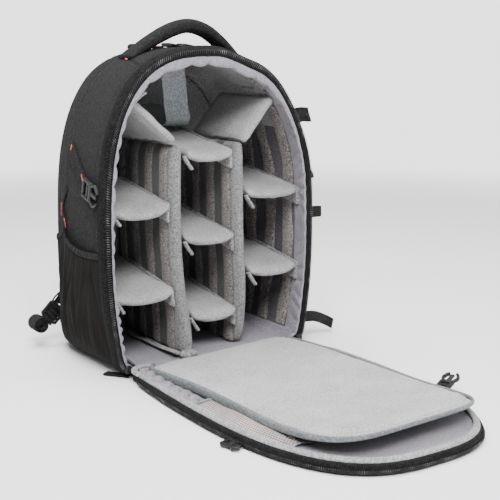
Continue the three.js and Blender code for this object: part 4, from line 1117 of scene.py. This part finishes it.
def bindingGrid(sign):
    # ruched elastic folded over the pocket's mouth
    u, w = np.linspace(0, 1, 190)[:, None], circle(14)[None]
    y = pocket["front"] + (pocket["back"] - pocket["front"]) * u
    z = curve(mouthRows["y"], mouthRows["z"], y) + 4.2 + 4.4 * power(np.cos(w), 3)
    out = pocket["clear"] + 0.4 + np.sin(pi * u) ** 0.8 * mouthOut(y) + 1.7 * np.sin(w)
    out = out + 0.35 * np.sin(120 * u) * np.sin(pi * u)
    return places(sign * (sideX(z, y + 0 * z) + out), y, z)


sideStrap = dict(rows=[(12, 292), (-8, 276), (-30, 259), (-50, 245)], width=20, thick=1.8)
sideBuckle = dict(y=-67, z=241, turn=np.radians(198), long=41, wide=26, lift=4.2, tips=(-18, 0, 18))
thinStrap = dict(rows=[(17, 238), (30, 220), (32, 206), (22, 192)], width=10, thick=1.8)


def sideBand(sign, strap):
    # webbing lying on the side of the bag
    yz = through(strap["rows"], 40)
    along = unit(np.gradient(yz, axis=0))
    angle = circle(20)[None]
    across = strap["width"] / 2 * power(np.cos(angle), 5)
    lift = strap["thick"] / 2 * (1 + power(np.sin(angle), 5))
    y = yz[:, :1] - along[:, 1:] * across
    z = yz[:, 1:] + along[:, :1] * across
    return gridShape(np.stack([sign * (sideX(z, y) + 0.9 + lift), y, z], -1), True, True)


def bar(line, wide, thick, count=16):
    # moulded bar along a flat line, its width lying across the line
    lengthwise = line[0][0] != line[1][0]
    return band(through(line, count), (0, 1, 0) if lengthwise else (1, 0, 0), wide, thick, 4, 14)


def buckleShape(long, wide):
    # male half of a side-release buckle: web bars, two sprung arms and a middle tongue
    x, y = long / 2, wide / 2
    rungs = [(-1, 4, 4), (-0.45, 4, 3.2), (-0.02, 6, 5)]
    bars = [bar([(x * share, 2 - y, 0), (x * share, y - 2, 0)], w, thick) for share, w, thick in rungs]
    bars += [bar([(-x, s * (y - 2), 0), (x * 0.05, s * (y - 2), 0)], 4, 5) for s in (-1, 1)]
    arm = [(0, y - 4), (x * 0.45, y * 1.02), (x * 0.8, y * 0.85), (x, y * 0.5)]
    bars += [bar([(a, s * b, 0) for a, b in arm], 3.6, 4.6) for s in (-1, 1)]
    bars.append(bar([(0, 0, 0), (x * 0.5, 0, 0), (x * 0.85, 0, 0)], 5.5, 3.2))
    return joined(bars)


def frameShape(long, wide, bars, thick=4.0):
    # oblong moulded frame with bars across it at shares of its length
    x, y = long / 2, wide / 2
    lines = [[(-x, s * y, 0), (x, s * y, 0)] for s in (-1, 1)]
    lines += [[(x * share, -y, 0), (x * share, y, 0)] for share in (-1, 1, *bars)]
    return joined([bar(line, 4.2, thick, 12) for line in lines])


for side, sign in (("left", -1), ("right", 1)):
    mesh = makePiece(side + "_pocket_mesh", gridShape(pocketGrid(sign)), pocketMesh, "pocket_mesh",
                     side + "_pocket", wall=0.9)
    makePiece(side + "_pocket_elastic", gridShape(bindingGrid(sign), True, True), blackWeb, "black_webbing",
              side + "_pocket_binding")
    makePiece(side + "_side_strap_web", sideBand(sign, sideStrap), blackWeb, "black_webbing",
              side + "_side_strap")
    along = np.array([0, np.cos(sideBuckle["turn"]), np.sin(sideBuckle["turn"])])
    tips = [(sideBuckle["y"] + e * along[1], sideBuckle["z"] + e * along[2]) for e in sideBuckle["tips"]]
    reach = max(float(sideX(z, y)) for y, z in tips)
    at = (sign * (reach + sideBuckle["lift"]), sideBuckle["y"], sideBuckle["z"])
    shape = placed(buckleShape(sideBuckle["long"], sideBuckle["wide"]), at, along, (sign, 0, 0))
    makePiece(side + "_side_buckle_half", shape, plastic, "buckle", side + "_side_buckle")
makePiece("left_thin_strap_web", sideBand(-1, thinStrap), blackWeb, "black_webbing", "left_thin_strap")


def sideTack(sign, y, z, along, long, wide, lift=2.6):
    # bar of thread on a side strap
    return bartack((sign * (float(sideX(z, y)) + lift), y, z), (0, *along), (sign, 0, 0), long, wide)


tackRows = [(9, 290, (-0.5, 0.86), 13, 3.0), (-38, 254, (0.35, 0.94), 16, 3.0)]
orangeTacks = [sideTack(s, *row) for s in (-1, 1) for row in tackRows]
makePiece("orange_bartacks", joined(orangeTacks), threadOrange, "black_webbing")
redTacks = [sideTack(-1, 32, 208, (-0.1, 1), 17, 4.0), sideTack(-1, 20, 191, (0.3, 1), 13, 3.0)]
makePiece("red_bartacks", joined(redTacks), threadRed, "black_webbing")
print("sides made")


def webPiece(name, line, side, width, thick, *nodes):
    # flat black webbing along a line
    makePiece(name, band(line, side, width, thick), blackWeb, "black_webbing", *nodes)


# Strap, closed buckle and tab on the roof behind the handle
topBuckle = dict(y=42, body=(27, 24, 8.5), bodyX=38, bodyLift=7.4, clip=(20, 20), clipX=15, clipLift=5.4)
roofSlope = float(roofZ(50, topBuckle["y"]) - roofZ(6, topBuckle["y"])) / 44


def roofLine(y, start, end, rise=0.0):
    # line lying on the roof from side to side, its end lifted by the square of its share
    x = np.linspace(start, end, 40)
    return places(x, y, roofZ(x, y + 0 * x) + 1.6 + rise * np.linspace(0, 1, 40) ** 2)


def onRoof(shape, x, lift):
    # stands a shape over the roof, leaning with its slope
    at = (x, topBuckle["y"], float(roofZ(x, topBuckle["y"])) + lift)
    return placed(shape, at, (1, 0, roofSlope), (-roofSlope, 0, 1))


webPiece("top_strap_web", roofLine(topBuckle["y"], -14, 78), (0, 1, 0), 20, 1.8, "top_strap")
curlZ = float(roofZ(-48, topBuckle["y"]))
curlRows = [(-38, 2.5), (-46, 2.0), (-51, 5.0), (-48, 9.0), (-43, 8.0)]
curl = through([(x, topBuckle["y"], curlZ + rise) for x, rise in curlRows], 30)
webPiece("top_strap_curl", curl, (0, 1, 0), 18, 1.8)
webPiece("top_tab_web", roofLine(16, -31, 5, 3), (0, 1, 0), 16, 1.8, "top_tab")
clipOn = [onRoof(block(topBuckle["body"], 4.0), topBuckle["bodyX"], topBuckle["bodyLift"]),
          onRoof(frameShape(*topBuckle["clip"], (0.1,), 4.5), topBuckle["clipX"], topBuckle["clipLift"])]
makePiece("top_buckle_body", joined(clipOn), plastic, "buckle", "top_buckle")
tackTop = [bartack((-22, 16, float(roofZ(-22, 16)) + 2.9), (0, 1, 0), (0, 0, 1), 12, 4),
           bartack((-86, -12, float(roofZ(-86, -12)) + 1.2), (0.28, 0.93, 0.15), (-0.5, 0, 0.85), 19, 2.2)]
makePiece("roof_bartacks", joined(tackTop), threadOrange, "black_webbing")

# Webbing loops standing out of the right edge seam
loopRows = [dict(node="right_loop_upper", z=331, reach=28.5, width=20, droop=9),
            dict(node="right_loop_lower", z=190, reach=23.5, width=15, droop=0)]
# out of the seam, along the depth and down, as shares and millimetres
loopSteps = [(0, -3, 0), (0.5, -3.9, 0.35), (0.85, -4, 0.8), (1, 0, 1), (0.85, 4, 0.8), (0.5, 3.9, 0.35),
             (0, 3, 0)]
for row in loopRows:
    t = 1 - float(shareWhere(lambda s: shellPoint(s, -80, 0)[..., 2] < row["z"], (), 0.09, 0.5))
    _, _, outX, outZ = (float(v) for v in onOutline(bagOutline, t))
    out = row["reach"] * np.array([outX, 0, outZ])
    seat = shellPoint(t, -80, -0.6)
    route = [seat + out * o + (0, d, -row["droop"] * f) for o, d, f in loopSteps]
    webPiece(row["node"] + "_web", through(route, 60), (-outZ, 0, outX), row["width"], 1.9, row["node"])

# Straps at the two lower front corners
leftRoute = [(-132, -92, 1.3), (-143, -79.5, 2.0), (-153, -65, 1.5)]
webPiece("left_floor_strap_web", through(leftRoute, 30), (1, 0.8, 0), 13, 1.7, "left_floor_strap")
rightRoute = [(157.3, -72, 34), (186, -71, 31), (208, -70, 22), (222, -70, 14)]
webPiece("right_floor_strap_web", through(rightRoute, 40), (0.25, 0.35, 1), 16, 2.2, "right_floor_strap")
print("straps made")

# Back of the bag: padded panel with a spine channel, shoulder straps, webs, buckles and rolled ends
backPad = dict(crown=4.5, channel=3.0)


def backDepth(p, ring):
    # crowned pad with a channel up the spine and stitched cross channels
    crown = backPad["crown"] * smoothStep(ring, 0.02, 0.3)
    spine = backPad["channel"] * ridge(p[..., 0], 0, 9)
    cross = 1.6 * sum(ridge(p[..., 2], z, 4) for z in (110, 190, 270)) * smoothStep(ring, 0.1, 0.25)
    return 101.6 + crown - spine * smoothStep(ring, 0.05, 0.2) - cross


backOuter = backDisc(10.6, 102, 40, 200, backDepth)
backPiece = makePiece("back_panel_pad", gridShape(backOuter, True), airMesh, "shell_cloth", "back_panel",
                      wall=2.0)
shoulder = dict(x=[40, 44, 54, 66, 78, 88], y=[106.4, 118, 138, 148, 144, 128],
                z=[372, 388, 362, 300, 230, 165], width=[46, 56, 62, 62, 56, 36], thick=[5, 9, 12, 12, 12, 8])
strapWebRoute = [(88.6, 126.6, 161.8), (103, 116, 118), (123, 112, 80), (140, 113.6, 57)]
anchorRoute = [(102, 104.5, 41), (124, 109, 40), (139, 114.8, 39)]
ladder = dict(x=151, y=109.5, z=46, tilt=np.radians(-45), long=22, wide=26, bars=(-0.25, 0.35))
webRoll = dict(x=172.6, y=112, z=31.5, turns=3.4, core=2.4, growth=9.2)


def shoulderShape(line):
    # padded strap: flattened oval section along the strap's bend
    u = np.linspace(0, len(shoulder["x"]) - 1, len(line))
    width, thick = (np.interp(u, np.arange(6), shoulder[key]) for key in ("width", "thick"))
    return band(line, (1, 0, 0), width, thick * 0.96, 2.8, 40)


for side, sign in (("left", -1), ("right", 1)):
    mirror = (sign, 1, 1)
    padLine = through(list(zip(shoulder["x"], shoulder["y"], shoulder["z"])), 80) * mirror
    strapPad = makePiece("shoulder_strap_%s_pad" % side, shoulderShape(padLine), airMesh, "shell_cloth",
                         "shoulder_strap_" + side)
    out = unit(np.cross(np.gradient(padLine, axis=0), np.array([-1.0, 0, 0])))
    webPiece("shoulder_strap_%s_web" % side, padLine[6:] + out[6:] * 6.4, (1, 0, 0), 25, 1.6)
    webLine = through(strapWebRoute, 60) * mirror
    webPiece("strap_web_%s_band" % side, webLine, (sign * 0.75, -0.35, 0.55), 22, 1.8, "strap_web_" + side)
    webPiece("strap_anchor_%s_band" % side, through(anchorRoute, 30) * mirror, (0, 0, 1), 22, 1.8,
             "strap_anchor_" + side)
    down = np.array([sign * np.cos(ladder["tilt"]), 0, np.sin(ladder["tilt"])])
    ladderAt = (sign * ladder["x"], ladder["y"], ladder["z"])
    rungs = placed(frameShape(ladder["long"], ladder["wide"], ladder["bars"]), ladderAt, down, (0, -1, 0))
    makePiece("ladder_buckle_%s_frame" % side, rungs, plastic, "buckle", "ladder_buckle_" + side)
    # web through the ladder buckle, down to the roll
    passed = np.linspace(-14, 17, 30)[:, None] * down + ladderAt + (0, 0.5, 0)
    webPiece("strap_pass_%s_web" % side, passed, (-sign * down[2], 0, sign * down[0]), 21, 1.6)
    turns = np.linspace(0, webRoll["turns"] * 2 * pi, 140)
    radius = webRoll["core"] + webRoll["growth"] * turns / turns[-1]
    rollX, rollZ = webRoll["x"] + radius * np.cos(turns), webRoll["z"] + radius * np.sin(turns)
    spiral = places(sign * rollX, webRoll["y"], rollZ)
    webPiece("strap_roll_%s_web" % side, spiral, (0, 1, 0), 27, 1.9, "strap_roll_" + side)

# Thin cord loop low on the left back edge
cord = dict(y=84, low=65, high=83, reach=12, droop=3, radius=1.2)
cordU = np.linspace(0, 1, 40)
cordZ = cord["high"] + (cord["low"] - cord["high"]) * cordU
bow = np.sin(pi * cordU)
cordX = -(sideX(cordZ, cord["y"] + 0 * cordZ) + 1.5 + cord["reach"] * bow)
cordLine = places(cordX, cord["y"], cordZ - cord["droop"] * bow)
cordShape = band(cordLine, (0, 1, 0), 2 * cord["radius"], 2 * cord["radius"], 2, 10)
cordPiece = makePiece("cord_loop_left_cord", cordShape, threadBlack, "black_webbing", "cord_loop_left")
print("back made")

# Flap lying in front of the bag
flap = dict(half=146, base=134, widest=170, height=430, power=2.84, swell=2.2, corner=12, hinge=-95.6)
flapOutline = archOutline(flap)


def flapPoint(t, inset, z):
    # point over the flap's outline, a distance inside its edge
    t, inset, z = np.broadcast_arrays(*(np.asarray(v, float) for v in (t, inset, z)))
    x, h, outX, outH = onOutline(flapOutline, t)
    return np.stack([x - outX * inset, flap["hinge"] - (h - outH * inset), z], -1)


def flapDisc(insets, heights, rows, columns, wave):
    # disc of the flap's outline: edge rings first, then rings shrinking to its middle line
    t = np.linspace(0, 1, columns, endpoint=False)[None]
    edge = np.stack([flapPoint(t[0], inset, z) for inset, z in zip(insets, heights)])
    last = edge[-1]
    middle = np.stack([0 * last[:, 0], np.clip(last[:, 1], -400, -230), last[:, 2]], -1)
    share = np.linspace(0, 1, rows)[1:, None, None]
    points = np.concatenate([edge, last + (middle - last) * share])
    points[..., 2] += wave(points)
    return points


flapBase = flapDisc([14, 12.8, 12.6, 12.6, 13.4], [0.2, 0.2, 1.2, 7, 8], 12, 240, lambda p: 0)
under = flapBase[::-1].copy()
under[:, :, 2] = 0.1
flapShell = np.concatenate([under[:12], flapBase])
makePiece("flap_panel_cloth", gridShape(flapShell, True), canvas, "shell_cloth", "flap_panel")
hingeU, hingeV = np.linspace(-116, 116, 80)[None], np.linspace(-95.3, -108, 10)[:, None]
hingeZ = 3.2 + 0.5 * np.sin(hingeU / 9) * np.sin(pi * (hingeV + 95.3) / 12.7)
hingeGrid = places(hingeU, hingeV, hingeZ)
makePiece("flap_hinge_cloth", gridShape(hingeGrid), canvas, "shell_cloth", "flap_hinge", wall=2.0)

# Rim of the flap: black wall below, pale binding rolled over its top
rim = dict(start=0.112, columns=480)
rimT = np.linspace(rim["start"], 1 - rim["start"], rim["columns"])
nearHinge = np.clip(1 - np.minimum(rimT - rim["start"], 1 - rim["start"] - rimT) / 0.06, 0, 1)
rimHigh = 1 - 0.3 * nearHinge
wallInset = np.array([12.0, 6.0, 1.2, 0.3, 0.1, 0.4, 1.4, 5.0, 9.0, 12.0])
wallZ = np.array([0.6, 0.3, 0.8, 3.0, 7.0, 11.0, 12.6, 13.2, 12.0, 9.0])
rimWall = flapPoint(rimT[:, None], wallInset[None], wallZ[None] * rimHigh[:, None])
makePiece("flap_rim_wall", gridShape(rimWall, True, True), canvas, "shell_cloth", "flap_rim")
angle = circle(24)[None]
rollInset = 6.0 + 3.9 * power(np.cos(angle), 2.4) + 0 * rimT[:, None]
rollZ = (13.8 + 3.0 * power(np.sin(angle), 2.2) + 0.7 * np.cos(angle)) * rimHigh[:, None]
rollGrid = flapPoint(rimT[:, None], rollInset, rollZ)
rollGrid[..., 2] += 0.25 * np.sin(rimT * 900)[:, None]
makePiece("flap_rim_binding", gridShape(rollGrid, True, True), rimBinding, "satin_lining")
flapZip = dict(start=0.13, columns=480, beadOut=1.9, beadZ=4.6, teeth=400)
flapZipT = np.linspace(flapZip["start"], 1 - flapZip["start"], flapZip["columns"])
tapeInset, tapeZ = np.array([-0.6, -1.0, -1.1, -1.0, -0.4]), np.array([2.0, 4.0, 6.5, 9.0, 10.4])
tapeRows = flapPoint(flapZipT[:, None], tapeInset[None], tapeZ[None])
makePiece("flap_zip_tape", gridShape(tapeRows), zipTape, "zip", "flap_zip", wall=0.9)
flapBead = flapPoint(flapZipT, -flapZip["beadOut"], flapZip["beadZ"])
makePiece("flap_zip_bead", band(flapBead, (0, 0, 1), 4.6, 2.2, 2.0, 10), zipTape, "zip")
flapTeethAt = evenly(flapBead, flapZip["teeth"])
flapOut = flapPoint(flapZipT, -10, flapZip["beadZ"]) - flapPoint(flapZipT, 0, flapZip["beadZ"])
flapTeethOut = unit(evenly(flapOut, flapZip["teeth"]))
flapTeethUp = unit(np.array([0, 0, 1.0]) + zipRun["slant"] * unit(np.gradient(flapTeethAt, axis=0)))
flapTeeth = spindles(flapTeethAt + flapTeethOut * 0.6, flapTeethUp, flapTeethOut, 4.0, 1.0, 1.6)
makePiece("flap_zip_teeth", flapTeeth, toothPlastic, "zip")
# end of the pale binding, turned in at the hinge corner
cornerRoute = [(-136, -130, 13.2), (-135, -114, 13.4), (-128, -105, 14.2), (-116, -103, 14.6),
               (-106, -106, 14.4)]
cornerShape = band(through(cornerRoute, 30), (0, 0, 1), 5.5, 8.5, 2.6, 18)
makePiece("flap_corner_binding", cornerShape, rimBinding, "satin_lining")

# Satin lining of the flap, ruffled along its left side
ruffle = dict(low=0.5, high=2.5, width=22, thin=2.8, full=5.6, wide=1.3)
ruffleRoute = [(-122, -110, 10.5), (-127, -140, 11), (-129.5, -180, 11), (-129.5, -225, 11), (-127, -264, 10)]
ruffleLine = through(ruffleRoute, 180)
ruffleAt = np.concatenate([[0], np.cumsum(np.linalg.norm(np.diff(ruffleLine, axis=0), axis=1))])[:, None]
ruffleAngle = circle(22)[None]
# gathered hem: an oval tube whose radius swells between slanting folds and runs out at both ends
foldAt = ruffleAt / ruffle["width"] + 0.16 * np.cos(ruffleAngle) + 0.12 * np.sin(ruffleAt / 19)
swollen = np.abs(np.sin(pi * foldAt)) ** 0.9
ends = 0.35 + 0.65 * smoothStep(ruffleAt, 0, 14) * smoothStep(ruffleAt[-1, 0] - ruffleAt, 0, 16)
radius = (ruffle["thin"] + ruffle["full"] * swollen) * ends
ruffleX, ruffleZ = ruffle["wide"] * radius * np.cos(ruffleAngle), radius * np.sin(ruffleAngle)
ruffleGrid = ruffleLine[:, None] + np.stack([ruffleX, 0 * radius, ruffleZ], -1)
makePiece("flap_ruffles", gridShape(ruffleGrid, True, True), satin, "satin_lining")


def flapRuffle(p):
    # folds across the left edge that die out towards the middle of the flap
    x, y = p[..., 0], p[..., 1]
    bell = smoothStep(-x, 104, 119) * smoothStep(-x, 134, 127)
    along = smoothStep(y, -262, -220) * smoothStep(y, -104, -116)
    fold = np.abs(np.sin(pi * (y / ruffle["width"] + 0.03 * x + 0.35 * np.sin(y / 31)))) ** 0.8
    puff = (ruffle["low"] + ruffle["high"] * fold * (0.7 + 0.3 * np.sin(y / 13))) * bell * along
    return puff + 0.5 * cloud(p, 30, 12) * smoothStep(y, -430, -440)


flapCloth = flapDisc([12.4, 9.8, 10.6, 14.0, 18.0], [8.4, 11.4, 12.4, 11.8, 10.8], 44, 300, flapRuffle)
flapPiece = makePiece("flap_lining_satin", gridShape(flapCloth, True), satin, "satin_lining", "flap_lining",
                      wall=0.7)

# Raised inner panel of the flap, with a flat binding round its edge
inner = dict(x=8, y=-302, half=118, reach=191, power=5.0, hingePower=10.0, low=15.2, lift=15, skew=0.06,
             flare=13, nearLean=0.14, nearOut=22, nearDrop=8)


def innerPoint(angle, scale, z):
    # superellipse outline, skewed at its far end, lifted towards it
    ease = np.where(np.sin(angle) > 0, inner["hingePower"], inner["power"])
    across = power(np.cos(angle), ease) * scale * inner["half"]
    along = power(np.sin(angle), ease) * scale * inner["reach"]
    far = np.clip(-along / inner["reach"], 0, 1.2)
    near = np.clip(along / inner["reach"], 0, 1) ** 2
    flare = inner["flare"] * near * np.clip(-across / inner["half"], 0, 1)
    turned = inner["skew"] * across * far + (inner["nearLean"] * across + inner["nearOut"]) * near
    high = inner["low"] + inner["lift"] * far**2.5 + z - inner["nearDrop"] * near
    return places(inner["x"] + across - flare, inner["y"] + along + turned, high)


def innerShape():
    # two faces that meet at a thin edge
    angle = circle(200)[None]
    inward = np.linspace(0.96, 0.02, 40)
    scale = np.concatenate([inward[::-1], [0.99, 1.0, 0.99], inward])[:, None]
    high = np.concatenate([np.full(40, 1.0), [1.6, 3.6, 5.6], 9.0 - 2.2 * smoothStep(inward, 0.88, 0.97)])
    return gridShape(innerPoint(angle, scale, high[:, None]), True, True)


padPiece("flap_inner_panel_pad", innerShape(), panelPile, "flap_inner_panel", voxel=4.0, cap=1.2,
         pressure=2.0, finer=0)
leftEdge = evenly(innerPoint(np.linspace(0.66 * pi, 1.46 * pi, 500), 1.0, 4.8), 180)
leftHigh = 11.0 - 6.0 * smoothStep(np.linspace(0, 1, 180), 0.45, 1)
leftWide = 5.6 - 2.2 * smoothStep(np.linspace(0, 1, 180), 0.6, 1)
leftBinding = band(leftEdge, (0, 0, 1), leftHigh, leftWide, 3.0, 20)
makePiece("flap_inner_binding", leftBinding, greyBinding, "grey_webbing")
farEdge = evenly(innerPoint(np.linspace(1.44 * pi, 2.3 * pi, 500), 1.0, 4.8), 180)
makePiece("flap_inner_piping", band(farEdge, (0, 0, 1), 5.0, 3.4, 2.4, 14), greyBinding, "grey_webbing")
innerStitches = stitchRow(innerPoint(np.linspace(0, 2 * pi, 500), 0.958, 8.3), (0, 0, 1), 3.6, 2.4, 0.6, 0.5)
makePiece("flap_inner_stitches", innerStitches, threadPale, "grey_webbing")

# Mesh pocket beside the inner panel, with a satin trim at its end
meshU, meshV = np.linspace(0, 1, 28)[None], np.linspace(0, 1, 84)[:, None]
meshY = -268 - 162 * meshV + 0 * meshU
flapSide = flapOutline["rows"][:800]
flapSide = flapSide[flapSide[:, 1] > 20]
meshLeft = np.interp(flap["hinge"] - meshY, flapSide[:, 1], flapSide[:, 0]) + 11.5
meshX = meshLeft + (-80 - meshLeft) * meshU
meshZ = 12.6 + 4.6 * np.sin(pi * np.clip(meshU * 1.6, 0, 1)) * (0.5 + 0.5 * np.sin(pi * meshV) ** 0.6)
meshZ = meshZ + 0.5 * np.sin(meshY / 11) + 0.5 * cloud(places(meshX, meshY, meshZ), 18, 15)
meshGrid = np.stack([meshX, meshY, meshZ], -1)
meshPiece = makePiece("flap_mesh_net", gridShape(meshGrid), paleMesh, "pale_mesh", "flap_mesh_pocket",
                      wall=0.7)
trimLine = evenly(meshGrid[-1] + (0, -0.8, 0.3), 30)
makePiece("flap_mesh_trim", band(trimLine, (0, 1, 0), 1.8, 1.2), satin, "satin_lining")
elasticLine = evenly(meshGrid[0] + (0, 2.0, 0.9), 30)
makePiece("flap_mesh_elastic", band(elasticLine, (0, 1, 0), 5.0, 2.4), greyBinding, "grey_webbing")

# Buckle halves at the flap's edges, and the zip sliders
flapBuckleRows = [
    dict(side="left", size=(24, 16), at=(-150, -371, 3.2), along=(0.3, -1, 0), face=(0, 0, 1)),
    dict(side="right", size=(32, 20), at=(163.7, -372, 15.7), along=(0.85, 0.2, 0.42), face=(-0.4, 0, 0.9)),
]
for row in flapBuckleRows:
    half = placed(buckleShape(*row["size"]), row["at"], row["along"], row["face"])
    makePiece("flap_buckle_%s_half" % row["side"], half, plastic, "buckle", "flap_buckle_" + row["side"])
slider = joined([block((11, 8, 4)), placed(frameShape(7, 4, (), 1.6), (-1, 0, 3.0), (1, 0, 0.05), (0, 0, 1))])
sliderX, _, sliderZ = shellPoint(zipRun["start"] + 0.002, -95, 4.2)
for side, sign in (("left", -1), ("right", 1)):
    body = placed(slider, (-sign * sliderX, -100.2, sliderZ), (0, 0, -1), (0, -1, 0))
    makePiece("zip_slider_%s_body" % side, body, plastic, "buckle", "zip_slider_" + side)
print("flap made")

swellPads()
print("pads swollen")


def setStage():
    # wide floor whose far parts fade into the sky's brightness by the square of their distance
    half, low = stage["size"] / 2 * mm, -stage["drop"] * mm
    mesh = bpy.data.meshes.new("floor")
    corners = [(x * half, y * half, low) for x, y in ((-1, -1), (1, -1), (1, 1), (-1, 1))]
    mesh.from_pydata(corners, [], [(0, 1, 2, 3)])
    ground, place, _ = newFinish("floorPaint", Roughness=0.9)
    tree = ground.node_tree
    paint = place.noise(3.0).mix(stage["floor"], dimmed(stage["floor"], 0.98))
    tree.links.new(paint.socket, tree.nodes["Principled BSDF"].inputs["Base Color"])
    far = (place.axis(0) * place.axis(0) + place.axis(1) * place.axis(1)).step(*stage["fade"])
    haze = tree.nodes.new("ShaderNodeEmission")
    haze.inputs["Strength"].default_value = stage["seen"]
    blend = tree.nodes.new("ShaderNodeMixShader")
    tree.links.new(far.socket, blend.inputs[0])
    tree.links.new(tree.nodes["Principled BSDF"].outputs[0], blend.inputs[1])
    tree.links.new(haze.outputs[0], blend.inputs[2])
    output = [node for node in tree.nodes if node.type == "OUTPUT_MATERIAL"][0]
    tree.links.new(blend.outputs[0], output.inputs[0])
    mesh.materials.append(ground)
    floor = bpy.data.objects.new("floor", mesh)
    bpy.context.scene.collection.objects.link(floor)


setStage()
